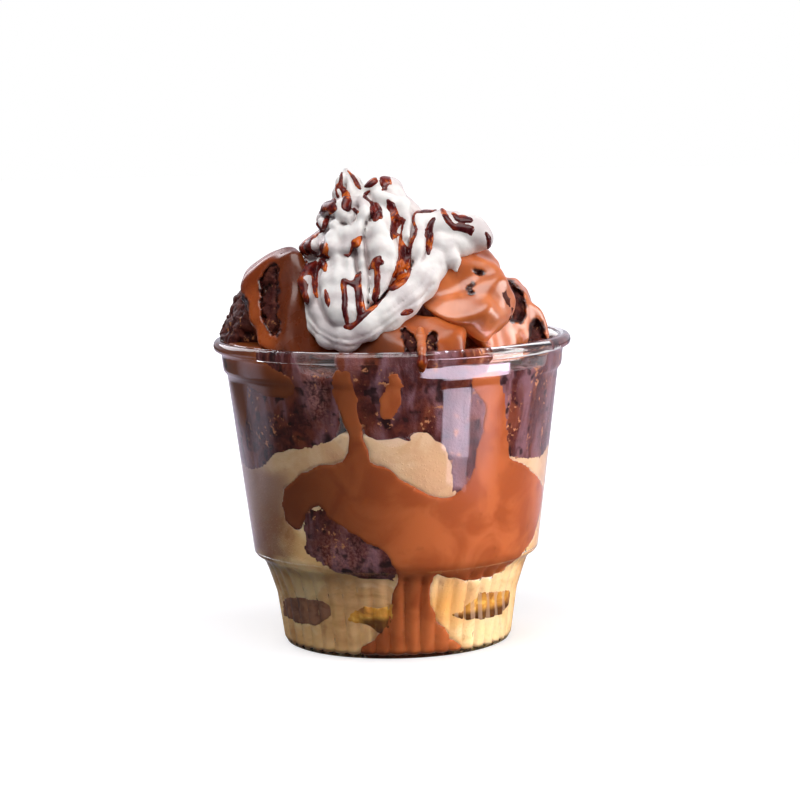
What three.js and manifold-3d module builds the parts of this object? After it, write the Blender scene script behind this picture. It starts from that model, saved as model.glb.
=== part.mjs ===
// A brownie sundae in a clear fluted plastic cup: ice cream, brownie chunks and poured milk chocolate
// sauce inside, coated chunks heaped above the rim, and piped whipped cream with syrup on top.
// Millimetres, +Z up. The origin is the centre of the foot on the table, and -Y faces the viewer.
// Angles round the cup are in degrees, 0 at the front and growing towards +X.
import * as THREE from "three";
import { mergeVertices } from "three/addons/utils/BufferGeometryUtils.js";
import Module from "manifold-3d";

const wasm = await Module();
wasm.setup();

// Cup sizes
const RIM_RADIUS = 49;
const RIM_TOP = 84.2;
const BEAD_HEIGHT = 3;
const MOUTH_RADIUS = 45.9;
const COLLAR_RADIUS = 46.9;
const COLLAR_FOOT = 76.2;
const BODY_TOP_RADIUS = 45.4;
const BODY_TOP = 74.6;
const SHOULDER_RADIUS = 39.2;
const SHOULDER = 25.8;
const WAIST_RADIUS = 35.2;
const WAIST = 20.9;
const FOOT_MIDDLE_RADIUS = 33;
const FOOT_MIDDLE = 14.2;
const FOOT_RADIUS = 31.2;
const FOOT_EDGE = 1.8;
const STAND_RADIUS = 30;
const RECESS_RADIUS = 26.5;
const RECESS_DEPTH = 1.4;
const WALL = 0.8;
const FLOOR = 1.2;
const FLUTES = 48;
const FLUTE_RELIEF = 0.45;
const OUTSIDE_SEGMENTS = 2 * FLUTES;
const INSIDE_SEGMENTS = 48;
const ROOM_SEGMENTS = 32;

// Gaps between the pieces, and how far a cut surface may be smoothed
const CLEARANCE = 0.45;
const CHUNK_GAP = 0.7;
const SAUCE_GAP = 0.85;
const CHUNK_SMOOTHING = 0.25;
const POURED_SMOOTHING = 0.4;
const CREAM_SMOOTHING = 0.45;
const WELD = 2e-3;

const radians = THREE.MathUtils.degToRad;

// Solids and booleans

function solidOf(geometry, weld = 1e-4) {
  geometry.deleteAttribute("normal");
  geometry.deleteAttribute("uv");
  const merged = mergeVertices(geometry, weld);
  return new wasm.Manifold(
    new wasm.Mesh({
      numProp: 3,
      vertProperties: merged.attributes.position.array,
      triVerts: new Uint32Array(merged.index.array),
    }),
  );
}

function geometryOf(solid) {
  const mesh = solid.getMesh();
  const geometry = new THREE.BufferGeometry();
  geometry.setAttribute("position", new THREE.BufferAttribute(mesh.vertProperties, 3));
  geometry.setIndex(new THREE.BufferAttribute(mesh.triVerts, 1));
  geometry.computeVertexNormals();
  return geometry;
}

function union(solids) {
  return solids.reduce((all, next) => all.add(next));
}

// The cuts can leave loose scraps and hair-thin necks. Welding close points parts the necks, and
// only the largest body is kept.
function largest(solid, smoothing) {
  const smoothed = solidOf(geometryOf(solid), WELD).simplify(smoothing);
  const bodies = solidOf(geometryOf(smoothed), WELD).decompose();
  return bodies.reduce((best, body) => (body.volume() > best.volume() ? body : best));
}

// Moves every vertex of a geometry by a function of its place.
function reshaped(geometry, place) {
  const position = geometry.attributes.position;
  const point = new THREE.Vector3();
  for (let i = 0; i < position.count; i++) {
    point.fromBufferAttribute(position, i);
    position.setXYZ(i, ...place(point.clone()).toArray());
  }
  return geometry;
}

function revolved(profile, segments) {
  const points = profile.map(([radius, height]) => new THREE.Vector2(radius, height));
  return new THREE.LatheGeometry(points, segments).rotateX(Math.PI / 2);
}

// A round strand along a curve, with flat ends.
function strand(points, radius, sides, steps) {
  const section = new THREE.Shape();
  section.absarc(0, 0, radius, 0, 2 * Math.PI);
  return solidOf(
    new THREE.ExtrudeGeometry(section, {
      steps,
      curveSegments: sides,
      extrudePath: new THREE.CatmullRomCurve3(points.map((p) => new THREE.Vector3(...p))),
      bevelEnabled: false,
    }),
  );
}

function ball(radius, detail, centre) {
  return solidOf(new THREE.IcosahedronGeometry(radius, detail).translate(...centre));
}

// Smooth random relief from a few seeded waves, between -1 and 1.
function relief(point, seed, wavelength) {
  let sum = 0;
  for (let k = 1; k <= 4; k++) {
    const phase = seed * 12.9898 + k * 78.233;
    const turn = Math.sin(phase) * 2.4;
    const along =
      point.x * Math.cos(turn) + point.y * Math.sin(turn) + point.z * Math.cos(phase * 1.7);
    sum += Math.sin((along * 2 * Math.PI * (1 + 0.35 * k)) / wavelength + phase * 3.1);
  }
  return sum / 4;
}

// A point at an angle round the cup.
function round(angle, radius, z) {
  return [radius * Math.sin(radians(angle)), -radius * Math.cos(radians(angle)), z];
}

// Cup

// Flutes run down the foot and die out under the shoulder and at the floor.
function fluted(point) {
  const fade =
    THREE.MathUtils.smoothstep(point.z, 0.4, 2) *
    (1 - THREE.MathUtils.smoothstep(point.z, WAIST, SHOULDER - 1));
  const angle = Math.atan2(point.y, point.x);
  const scale = 1 + (FLUTE_RELIEF * fade * Math.cos(FLUTES * angle)) / (2 * FOOT_RADIUS);
  return new THREE.Vector3(point.x * scale, point.y * scale, point.z);
}

function outsideProfile() {
  const bead = RIM_TOP - BEAD_HEIGHT;
  return [
    [0, RECESS_DEPTH],
    [RECESS_RADIUS, RECESS_DEPTH],
    [RECESS_RADIUS + 1.1, 0],
    [STAND_RADIUS, 0],
    [FOOT_RADIUS, FOOT_EDGE],
    [FOOT_MIDDLE_RADIUS, FOOT_MIDDLE],
    [WAIST_RADIUS, WAIST],
    [SHOULDER_RADIUS - 0.7, SHOULDER - 1],
    [SHOULDER_RADIUS, SHOULDER],
    [BODY_TOP_RADIUS, BODY_TOP],
    [COLLAR_RADIUS - 0.6, COLLAR_FOOT],
    [COLLAR_RADIUS, bead],
    [RIM_RADIUS - 0.4, bead],
    [RIM_RADIUS, bead + 1.4],
    [RIM_RADIUS - 1.2, RIM_TOP],
    [0, RIM_TOP],
  ];
}

// The inner face, moved in by an inset. The contents use the same face as their limit.
function insideProfile(inset) {
  const floor = RECESS_DEPTH + FLOOR + inset;
  const wall = WALL + inset;
  return [
    [0, floor],
    [FOOT_RADIUS - wall - 1, floor],
    [FOOT_RADIUS - wall, floor + 1],
    [FOOT_MIDDLE_RADIUS - wall, FOOT_MIDDLE],
    [WAIST_RADIUS - wall, WAIST],
    [SHOULDER_RADIUS - wall, SHOULDER + 0.3],
    [BODY_TOP_RADIUS - wall, BODY_TOP],
    [COLLAR_RADIUS - 0.6 - wall, COLLAR_FOOT],
    [MOUTH_RADIUS - inset, RIM_TOP - BEAD_HEIGHT],
  ];
}

function cup() {
  const outside = reshaped(revolved(outsideProfile(), OUTSIDE_SEGMENTS), fluted);
  const bore = [...insideProfile(0), [MOUTH_RADIUS, RIM_TOP + 1], [0, RIM_TOP + 1]];
  return solidOf(outside).subtract(solidOf(revolved(bore, INSIDE_SEGMENTS)));
}

// The space that the contents may take: inside the cup, and above it a little past its mouth.
function room() {
  const ceiling = 140;
  const overhang = MOUTH_RADIUS + 1.6;
  return solidOf(
    revolved(
      [
        ...insideProfile(CLEARANCE),
        [MOUTH_RADIUS - CLEARANCE, RIM_TOP],
        [overhang, RIM_TOP + 1.2],
        [overhang, ceiling],
        [0, ceiling],
      ],
      ROOM_SEGMENTS,
    ),
  );
}

// Brownies. Those above the rim wear a thick coat of sauce, which is part of their form.
const SQUARENESS = 4;
const CRAG_WAVELENGTH = 11;
const CHUNKS = {
  brownie_top_left: { at: [-28, -15, 92.5], half: [9.5, 11, 17.5], turn: [4, -17, 8], crag: 0.5 },
  brownie_left: { at: [-36, -1, 84.5], half: [10, 13, 13], turn: [5, 27, 6], crag: 1.1 },
  brownie_right: { at: [20.5, -17, 97], half: [10.5, 11, 12.5], turn: [-6, -20, 8], crag: 0.5 },
  brownie_front: { at: [7.5, -31, 82.5], half: [11.5, 9.5, 9.5], turn: [5, 8, -10], crag: 0.6 },
  brownie_far_right: { at: [30, -1, 86], half: [10, 12, 12.5], turn: [4, -22, 6], crag: 0.8 },
  brownie_middle: { at: [-5, -4, 85.5], half: [11, 11, 10.5], turn: [6, -5, 14], crag: 1 },
  brownie_back: { at: [3, 21.5, 90], half: [13, 11, 12.5], turn: [-10, 6, 22], crag: 0.8 },
  brownie_back_left: { at: [-22.5, 20, 85], half: [10.5, 10.5, 11.5], turn: [8, 10, 48], crag: 1 },
  brownie_back_right: { at: [25.5, 22.5, 83], half: [9.5, 10, 10.5], turn: [-6, -8, -42], crag: 1 },
  inner_left: { at: round(-38, 31.5, 68), half: [12, 10, 12], turn: [3, -6, -36], crag: 0.9 },
  inner_middle: { at: round(11, 34, 66), half: [8, 9, 9], turn: [0, 4, 10], crag: 0.9 },
  inner_right: { at: round(57, 32, 66), half: [9, 10.5, 12], turn: [0, 5, 57], crag: 0.9 },
  inner_side: { at: round(103, 32, 66), half: [11, 10.5, 12], turn: [4, -8, 100], crag: 0.9 },
  inner_back: { at: round(152, 32, 65), half: [12, 10.5, 12], turn: [0, 8, 148], crag: 0.9 },
  inner_rear: { at: round(203, 32, 65), half: [11, 10.5, 12], turn: [3, 5, 205], crag: 0.9 },
  inner_far: { at: round(-104, 32, 66), half: [13, 10.5, 12], turn: [-3, -7, -106], crag: 0.9 },
  brownie_low: { at: round(-20, 30.5, 32), half: [12, 10, 8.5], turn: [0, 17, -20], crag: 0.9 },
};
const COATED = ["brownie_top_left", "brownie_right", "brownie_front", "brownie_far_right"];

// Where a ray from the centre of a box with well rounded corners leaves it.
function squaredOff(direction, box) {
  const ratio = direction.clone().divide(box).toArray();
  const sum = ratio.reduce((all, part) => all + Math.abs(part) ** SQUARENESS, 0);
  return direction.clone().multiplyScalar(sum ** (-1 / SQUARENESS));
}

// A chunk is such a box with crags on it.
function chunk(name, grow = 0) {
  const { at, half, turn, crag } = CHUNKS[name];
  const rotation = new THREE.Quaternion().setFromEuler(new THREE.Euler(...turn.map(radians)));
  const detail = COATED.includes(name) ? 3 : 2;
  return solidOf(
    reshaped(new THREE.IcosahedronGeometry(1, detail), (direction) => {
      const box = new THREE.Vector3(...half);
      const bump = crag * relief(direction.clone().multiply(box), name.length, CRAG_WAVELENGTH);
      const place = squaredOff(direction, box.addScalar(grow));
      place.setLength(place.length() + bump);
      return place.applyQuaternion(rotation).add(new THREE.Vector3(...at));
    }),
  );
}

// Whipped cream

// The mound, level by level: its left and right edges, the middle of its depth and its half depth.
const MOUND = [
  { z: 83.4, left: -13, right: -10, y: -33, deep: 2 },
  { z: 85.5, left: -17.5, right: -6.5, y: -31.5, deep: 6.5 },
  { z: 89.5, left: -22, right: -1, y: -27, deep: 10.5 },
  { z: 93.5, left: -25, right: 6.5, y: -23, deep: 13.5 },
  { z: 97.5, left: -26.8, right: 10.6, y: -18.5, deep: 16 },
  { z: 101, left: -26.2, right: 12.2, y: -15.5, deep: 17.5 },
  { z: 105, left: -24.3, right: 13.6, y: -13.5, deep: 18 },
  { z: 110, left: -23.6, right: 13.4, y: -13, deep: 17 },
  { z: 114, left: -20, right: 12.4, y: -12.5, deep: 15 },
  { z: 118.5, left: -19.2, right: 9.6, y: -12.5, deep: 13 },
  { z: 122.5, left: -15.8, right: 5.2, y: -12.5, deep: 9.5 },
  { z: 125.4, left: -12, right: 0.5, y: -12.5, deep: 5 },
];
const LOBES = 13;
const LOBE_RELIEF = 1.7;
const LOBE_TURN = 8;
const LOBE_TWIST = 24;
const STEP_RELIEF = 0.9;
const STEP_PITCH = 7.5;
const MOUND_SEGMENTS = 4 * LOBES;
const MOUND_ROWS = 16;

// A wave with round tops and sharp creases, between 0 and 1.
function scallop(degrees) {
  return Math.abs(Math.cos(radians(degrees) / 2));
}

function moundLevel(share) {
  const along = THREE.MathUtils.clamp(share, 0, 1) * (MOUND.length - 1);
  const low = Math.min(Math.floor(along), MOUND.length - 2);
  const level = {};
  for (const key of ["z", "left", "right", "y", "deep"]) {
    level[key] = THREE.MathUtils.lerp(MOUND[low][key], MOUND[low + 1][key], along - low);
  }
  return level;
}

// A point of the mound's surface, piped lobes and spiral steps included, raised by lift.
function moundPoint(angle, share, lift = 0) {
  const level = moundLevel(share);
  const wide = (level.right - level.left) / 2;
  const fade = Math.min(1, wide / 12);
  const lobe = scallop((angle - LOBE_TURN + LOBE_TWIST * (share - 0.5)) * LOBES) - 0.8;
  const step = Math.cos(2 * Math.PI * (level.z / STEP_PITCH - angle / 360));
  const out = fade * (LOBE_RELIEF * lobe + STEP_RELIEF * step) + lift;
  return new THREE.Vector3(
    (level.left + level.right) / 2 + (wide + out) * Math.sin(radians(angle)),
    level.y - (level.deep + out) * Math.cos(radians(angle)),
    level.z,
  );
}

function mound() {
  const globe = new THREE.SphereGeometry(1, MOUND_SEGMENTS, MOUND_ROWS).rotateX(Math.PI / 2);
  return solidOf(
    reshaped(globe, (unit) => {
      const share = 1 - Math.acos(THREE.MathUtils.clamp(unit.z, -1, 1)) / Math.PI;
      const level = moundLevel(share);
      const pole = new THREE.Vector3((level.left + level.right) / 2, level.y, level.z);
      const angle = THREE.MathUtils.radToDeg(Math.atan2(unit.x, -unit.y));
      return share < 1e-6 || share > 1 - 1e-6 ? pole : moundPoint(angle, share);
    }),
  );
}

// The last turn of the piping is a thick smooth ribbon that hangs in front and ends in a lobe.
const RIBBON = [
  [-22.3, -16, 99],
  [-20.8, -26, 94.5],
  [-16.8, -33.5, 90.3],
  [-11.8, -36.5, 88.3],
  [-6, -36, 91],
  [1, -34, 95],
  [6.3, -31, 99.5],
  [9.5, -27, 105],
  [13.5, -21, 110],
];
const RIBBON_RADIUS = 4.4;
const SIDE_LOBE = [
  [2, -14, 113.5],
  [10, -16, 114],
  [17, -17, 113.4],
  [23, -17, 112],
];
const SIDE_LOBE_RADIUS = 4.8;
const TIP = { foot: [-10.7, -13, 122.4], radius: 5.4, height: 8.3, lean: -6 };
const BUMP = { at: [-2, -11, 124.4], radius: 4.4 };

// Syrup runs on the mound: where each starts round it, its drift, and the heights it covers.
const SYRUP = [
  { angle: -62, drift: 10, from: 0.62, to: 0.36 },
  { angle: -36, drift: 6, from: 0.62, to: 0.36 },
  { angle: -14, drift: 4, from: 0.56, to: 0.28 },
  { angle: 2, drift: 3, from: 0.54, to: 0.28 },
  { angle: 14, drift: -3, from: 0.62, to: 0.38 },
  { angle: 40, drift: -12, from: 0.86, to: 0.4 },
  { angle: 74, drift: 6, from: 0.8, to: 0.45 },
  { angle: 122, drift: -6, from: 0.85, to: 0.4 },
  { angle: 175, drift: 7, from: 0.9, to: 0.4 },
  { angle: -115, drift: 6, from: 0.86, to: 0.42 },
];
const SYRUP_RADIUS = 1.1;
const SYRUP_SIDES = 4;
const SYRUP_STEPS = 5;

function syrupRun({ angle, drift, from, to }) {
  const points = [];
  for (let i = 0; i <= SYRUP_STEPS; i++) {
    const share = THREE.MathUtils.lerp(from, to, i / SYRUP_STEPS);
    points.push(moundPoint(angle + (drift * i) / SYRUP_STEPS, share, -0.2).toArray());
  }
  return strand(points, SYRUP_RADIUS, SYRUP_SIDES, SYRUP_STEPS);
}

function tip() {
  const cone = new THREE.ConeGeometry(TIP.radius, TIP.height, 12).translate(0, TIP.height / 2, 0);
  return solidOf(cone.rotateX(Math.PI / 2).rotateY(radians(TIP.lean)).translate(...TIP.foot));
}

function whippedCream() {
  return union([
    mound(),
    strand(RIBBON, RIBBON_RADIUS, 8, 15),
    ball(RIBBON_RADIUS, 1, RIBBON[0]),
    strand(SIDE_LOBE, SIDE_LOBE_RADIUS, 8, 6),
    ball(SIDE_LOBE_RADIUS, 1, SIDE_LOBE[3]),
    ball(BUMP.radius, 1, BUMP.at),
    tip(),
    ...SYRUP.map(syrupRun),
  ]);
}

// Sauce and ice cream

// Where the poured sauce meets the wall: round patches, each with a place and half sizes.
const SAUCE_DEPTH = 9;
const SAUCE_FOOT_INSET = 6;
const SAUCE_CORE_RADIUS = 33;
const SAUCE_CORE_FOOT = 54;
const SAUCE_CORE_TOP = 81.5;
const SAUCE_PATCHES = [
  { angle: -33, z: 46, wide: 15, high: 8.5 },
  { angle: -42, z: 41, wide: 6, high: 6.5 },
  { angle: -8, z: 46, wide: 21, high: 8 },
  { angle: 9, z: 34, wide: 22, high: 11 },
  { angle: 48, z: 39, wide: 33, high: 14.5 },
  { angle: 31, z: 25, wide: 24, high: 4.8 },
  { angle: 7, z: 16, wide: 9.5, high: 13 },
  { angle: 7, z: 3.5, wide: 22, high: 6 },
  { angle: -10, z: 67, wide: 8, high: 16 },
  { angle: 30, z: 66, wide: 9, high: 16 },
  { angle: -72, z: 71, wide: 14, high: 10 },
  { angle: 112, z: 43, wide: 24, high: 11 },
  { angle: 128, z: 64, wide: 7, high: 18 },
  { angle: 178, z: 58, wide: 9, high: 18 },
  { angle: -132, z: 60, wide: 9, high: 22 },
];

// A round patch of the wall, carried straight in towards the axis.
function wallPatch({ angle, z, wide, high }, grow) {
  const beyondWall = 64;
  const plug = new THREE.CylinderGeometry(1, 1, 1, 12).rotateX(Math.PI / 2);
  return solidOf(
    reshaped(plug, (unit) => {
      const height = z + unit.y * (high + grow);
      const inset = height < SHOULDER ? SAUCE_FOOT_INSET : 0;
      const inner = SHOULDER_RADIUS - SAUCE_DEPTH - inset - grow;
      const turned = angle + unit.x * (wide + THREE.MathUtils.radToDeg(grow / SHOULDER_RADIUS));
      return new THREE.Vector3(...round(turned, unit.z > 0 ? beyondWall : inner, height));
    }),
  );
}

function sauce(grow = 0) {
  const core = [
    [0, SAUCE_CORE_FOOT - grow],
    [SAUCE_CORE_RADIUS + grow, SAUCE_CORE_FOOT - grow],
    [SAUCE_CORE_RADIUS + grow, SAUCE_CORE_TOP + grow],
    [0, SAUCE_CORE_TOP + grow],
  ];
  return union([
    solidOf(revolved(core, 16)),
    ...SAUCE_PATCHES.map((patch) => wallPatch(patch, grow)),
  ]);
}

// Ice cream fills the cup to a wavy level.
const ICE_CREAM_TOP = 56;
const ICE_CREAM_WAVE = 2.5;
const ICE_CREAM_WAVELENGTH = 60;
const ICE_CREAM_SEED = 21;

function iceCream() {
  const disc = new THREE.CylinderGeometry(60, 60, ICE_CREAM_TOP, 24, 4).rotateX(Math.PI / 2);
  return solidOf(
    reshaped(disc, (point) => {
      const share = point.z / ICE_CREAM_TOP + 0.5;
      const wave = relief(point.clone().setZ(0), ICE_CREAM_SEED, ICE_CREAM_WAVELENGTH);
      return point.setZ(share * (ICE_CREAM_TOP + ICE_CREAM_WAVE * wave));
    }),
  );
}

// Assembly

const LOOKS = {
  cup: { color: 0xe9ecf2, roughness: 0.06, metalness: 0, transparent: true, opacity: 0.3 },
  ice_cream: { color: 0xe9cfa2, roughness: 0.45, metalness: 0 },
  sauce: { color: 0x8a4526, roughness: 0.2, metalness: 0 },
  cream: { color: 0xf4efea, roughness: 0.5, metalness: 0 },
  brownie: { color: 0x35191a, roughness: 0.75, metalness: 0 },
};

const sundae = new THREE.Group();

function addNode(name, solid, look) {
  const mesh = new THREE.Mesh(geometryOf(solid), new THREE.MeshStandardMaterial(LOOKS[look]));
  mesh.name = name;
  sundae.add(mesh);
}

addNode("cup", cup(), "cup");

const space = room();
const grownChunks = [];
for (const name of Object.keys(CHUNKS)) {
  let piece = chunk(name).intersect(space);
  for (const grown of grownChunks) piece = piece.subtract(grown);
  grownChunks.push(chunk(name, CHUNK_GAP));
  addNode(name, largest(piece, CHUNK_SMOOTHING), COATED.includes(name) ? "sauce" : "brownie");
}

const freeSpace = space.subtract(union(grownChunks));
const cream = whippedCream().intersect(freeSpace);
const poured = sauce().intersect(freeSpace);
const scoops = iceCream().intersect(freeSpace).subtract(sauce(SAUCE_GAP));
addNode("whipped_cream", largest(cream, CREAM_SMOOTHING), "cream");
addNode("chocolate_sauce", largest(poured, POURED_SMOOTHING), "sauce");
addNode("ice_cream", largest(scoops, POURED_SMOOTHING), "ice_cream");

export default sundae;
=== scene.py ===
"""The brownie sundae: its food as crumbed, glossy and creamy pieces, its clear cup, studio and camera.

Forms are distance fields in millimetres, inside below nought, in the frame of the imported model: +Z up,
the origin at the centre of the foot, -Y towards the viewer. The fields are skinned and put in metres.
"""

import math

import bpy
import numpy as np
from mathutils import Matrix, Vector


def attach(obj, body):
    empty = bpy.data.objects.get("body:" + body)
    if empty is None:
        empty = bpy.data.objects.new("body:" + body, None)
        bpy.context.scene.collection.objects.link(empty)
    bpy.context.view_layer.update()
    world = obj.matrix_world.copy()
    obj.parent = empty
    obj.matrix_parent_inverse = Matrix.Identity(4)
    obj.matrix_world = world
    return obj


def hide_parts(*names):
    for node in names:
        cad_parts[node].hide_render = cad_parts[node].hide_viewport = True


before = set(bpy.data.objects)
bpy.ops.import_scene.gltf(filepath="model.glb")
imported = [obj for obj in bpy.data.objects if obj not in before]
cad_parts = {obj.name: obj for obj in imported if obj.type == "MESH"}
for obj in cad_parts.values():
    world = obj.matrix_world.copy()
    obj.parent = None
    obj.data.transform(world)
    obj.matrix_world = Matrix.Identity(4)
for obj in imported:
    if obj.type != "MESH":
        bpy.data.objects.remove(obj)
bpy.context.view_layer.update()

# The camera, in millimetres: fitted to the rim, shoulder and foot of the cup
CAMERA_PLACE = (1.88, -789.0, 162.6)
CAMERA_PITCH = math.radians(6.97)
CAMERA_ROLL = math.radians(1.19)
CAMERA_LENS = 129.87
# The upright plane on which marks seen from the front are given
MARK_PLANE = -25.0

MM = 0.001
HOLLOW_ROUNDS = 10
FLUTES = 48
FLUTE_RELIEF = 0.6
FLUTE_FADE = (0.4, 2, 20.9, 24.8)
# Where the points of a flute lie, from crease to crease
CREASE_SHARES = (0, 0.03, 0.07, 0.13, 0.25, 0.5, 0.75, 0.87, 0.93, 0.97)

# Inner wall of the cup: heights and radii, from the floor up
WALL_HEIGHTS = (2.6, 3.6, 14.2, 20.9, 26.1, 74.6, 76.2, 81.2, 84.2)
WALL_RADII = (29.4, 30.4, 32.2, 34.4, 38.4, 44.6, 45.5, 45.9, 45.9)
INSIDE_FLOOR = 2.6
RIM_TOP = 84.2
# How far each food reaches into the wall, so that no air shows between food and cup
ICE_CREAM_BITE = 0.1
BROWNIE_BITE = 0.2
SAUCE_BITE = 0.3
# The food's colour goes down into the thick ring that the cup stands on
FOOT_SINK = 1.9
# Grid steps of the forms: the finer, the closer a surface is seen
SAUCE_STEP = 0.8
ICE_CREAM_STEP = 0.75
POCKET_STEP = 0.6
CAKE_STEP = 0.8
COAT_STEP = 0.52
CRUMB_STEP = 0.66
CAP_STEP = 0.65
INNER_STEP = 0.83
CREAM_STEP = 0.42
SYRUP_STEP = CREAM_STEP * 0.95
RIM_STEP = 0.3


def smoothstep(value, start, end):
    share = np.clip((value - start) / (end - start), 0, 1)
    return share * share * (3 - 2 * share)


def joined(one, other, soft):
    """The two forms as one, with a soft fillet between them."""
    near = np.maximum(soft - np.abs(one - other), 0) / soft
    return np.minimum(one, other) - near * near * soft / 4


def shared(one, other, soft):
    """What lies in both forms."""
    return -joined(-one, -other, soft)


def hashed(i, j, k, seed):
    """An even random number from -1 to 1 for each cell of a lattice."""
    mixed = i * np.uint32(374761393) + j * np.uint32(668265263) + k * np.uint32(2246822519)
    mixed = mixed + np.uint32(seed * 3266489917 % 4294967296)
    mixed = (mixed ^ (mixed >> np.uint32(13))) * np.uint32(1274126177)
    mixed = (mixed ^ (mixed >> np.uint32(16))) * np.uint32(2654435769)
    mixed = mixed ^ (mixed >> np.uint32(15))
    return mixed.astype(np.float32) / np.float32(2147483648.0) - 1


def noise(points, size, seed):
    """Smooth noise from -1 to 1 at points, its lumps about one size."""
    scaled = points / size
    cell = np.floor(scaled)
    share = (scaled - cell).astype(np.float32)
    share = share * share * share * (share * (share * 6 - 15) + 10)
    cell = cell.astype(np.int64).astype(np.uint32)
    total = np.zeros(len(points), np.float32)
    for a, b, c in np.ndindex(2, 2, 2):
        weight = np.where(a, share[:, 0], 1 - share[:, 0])
        weight = weight * np.where(b, share[:, 1], 1 - share[:, 1])
        weight = weight * np.where(c, share[:, 2], 1 - share[:, 2])
        i, j, k = (cell[:, n] + np.uint32(step) for n, step in enumerate((a, b, c)))
        total += weight * hashed(i, j, k, seed)
    return total


def relief(x, y, z, seed, wavelength):
    """The low swell that the solids have too."""
    total = 0
    for k in range(1, 5):
        phase = seed * 12.9898 + k * 78.233
        turn = math.sin(phase) * 2.4
        along = x * math.cos(turn) + y * math.sin(turn) + z * math.cos(phase * 1.7)
        total = total + np.sin(along * (2 * math.pi * (1 + 0.35 * k) / wavelength) + phase * 3.1) / 4
    return total


def skin(field, low, step):
    """Points and four-sided faces of the surface where a field on a grid is nought."""
    inside = field < 0
    size = [n - 1 for n in field.shape]
    corners = list(np.ndindex(2, 2, 2))
    count = np.zeros(size, np.uint8)
    for a, b, c in corners:
        count += inside[a:a + size[0], b:b + size[1], c:c + size[2]]
    cells = np.argwhere((count > 0) & (count < 8))
    values = {k: field[cells[:, 0] + k[0], cells[:, 1] + k[1], cells[:, 2] + k[2]] for k in corners}
    total = np.zeros((len(cells), 3))
    hits = np.zeros(len(cells))
    for start in corners:
        for axis in range(3):
            if start[axis]:
                continue
            end = tuple(1 if n == axis else start[n] for n in range(3))
            one, other = values[start], values[end]
            crosses = (one < 0) != (other < 0)
            share = np.where(crosses, one / np.where(crosses, one - other, 1), 0)
            place = np.tile(np.array(start, float), (len(cells), 1))
            place[:, axis] = share
            total += place * crosses[:, None]
            hits += crosses
    points = (cells + total / hits[:, None]) * step + np.array(low)
    index = np.full(size, -1, np.int64)
    index[cells[:, 0], cells[:, 1], cells[:, 2]] = np.arange(len(cells))
    faces = []
    for axis in range(3):
        second, third = (axis + 1) % 3, (axis + 2) % 3
        first_end = [slice(None)] * 3
        last_end = [slice(None)] * 3
        first_end[axis] = slice(0, -1)
        last_end[axis] = slice(1, None)
        one, other = inside[tuple(first_end)], inside[tuple(last_end)]
        edges = np.argwhere(one != other)
        whole = np.all((edges > 0) | (np.arange(3) == axis), axis=1)
        whole &= np.all(edges < np.array(size), axis=1)
        edges = edges[whole]
        ring = []
        for back_second, back_third in ((1, 1), (0, 1), (0, 0), (1, 0)):
            cell = edges.copy()
            cell[:, second] -= back_second
            cell[:, third] -= back_third
            ring.append(index[cell[:, 0], cell[:, 1], cell[:, 2]])
        quads = np.stack(ring, axis=1)
        outward = one[edges[:, 0], edges[:, 1], edges[:, 2]]
        faces.append(np.where(outward[:, None], quads, quads[:, ::-1]))
    return points, np.concatenate(faces)


def without_strays(points, faces, least):
    """The mesh without its loose bodies of few points."""
    label = np.arange(len(points))
    starts, ends = faces.ravel(), np.roll(faces, -1, axis=1).ravel()
    while True:
        before = label.copy()
        np.minimum.at(label, before[starts], before[ends])
        np.minimum.at(label, before[ends], before[starts])
        np.minimum.at(label, starts, label[ends])
        np.minimum.at(label, ends, label[starts])
        label = label[label]
        if np.array_equal(before, label):
            break
    sizes = np.bincount(label, minlength=len(points))
    kept = sizes[label] >= least
    number = np.cumsum(kept) - 1
    return points[kept], number[faces[kept[faces[:, 0]]]]


def point_normals(points, faces):
    across = points[faces[:, 2]] - points[faces[:, 0]]
    along = points[faces[:, 3]] - points[faces[:, 1]]
    facing = np.cross(across, along)
    normals = np.zeros_like(points)
    for corner in range(4):
        np.add.at(normals, faces[:, corner], facing)
    return normals / np.maximum(np.linalg.norm(normals, axis=1), 1e-9)[:, None]


def grid(low, high, step):
    axes = [np.arange(low[n], high[n] + step, step, dtype=np.float32) for n in range(3)]
    return axes[0][:, None, None], axes[1][None, :, None], axes[2][None, None, :]


def closed(field):
    """The field with its outermost layer outside, so that the skin closes."""
    for axis in range(3):
        for end in (0, -1):
            layer = [slice(None)] * 3
            layer[axis] = end
            field[tuple(layer)] = np.maximum(field[tuple(layer)], 0.5)
    return field


def hollows(points, faces, rounds):
    """How deep each point lies under its surroundings, in millimetres; a ridge gives less than nought."""
    starts, ends = faces.ravel(), np.roll(faces, -1, axis=1).ravel()
    count = sum(np.bincount(side, minlength=len(points)) for side in (starts, ends))[:, None]
    smooth = points.copy()
    for _ in range(rounds):
        total = np.empty_like(smooth)
        for axis in range(3):
            total[:, axis] = np.bincount(starts, smooth[ends, axis], len(points))
            total[:, axis] += np.bincount(ends, smooth[starts, axis], len(points))
        smooth = total / count
    return ((smooth - points) * point_normals(points, faces)).sum(axis=1)


def placed(mesh, nodes, material):
    """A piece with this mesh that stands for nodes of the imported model."""
    mesh.materials.append(material)
    piece = bpy.data.objects.new(mesh.name, mesh)
    bpy.context.scene.collection.objects.link(piece)
    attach(piece, "root")
    if nodes:
        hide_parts(*nodes)
    return piece


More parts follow.
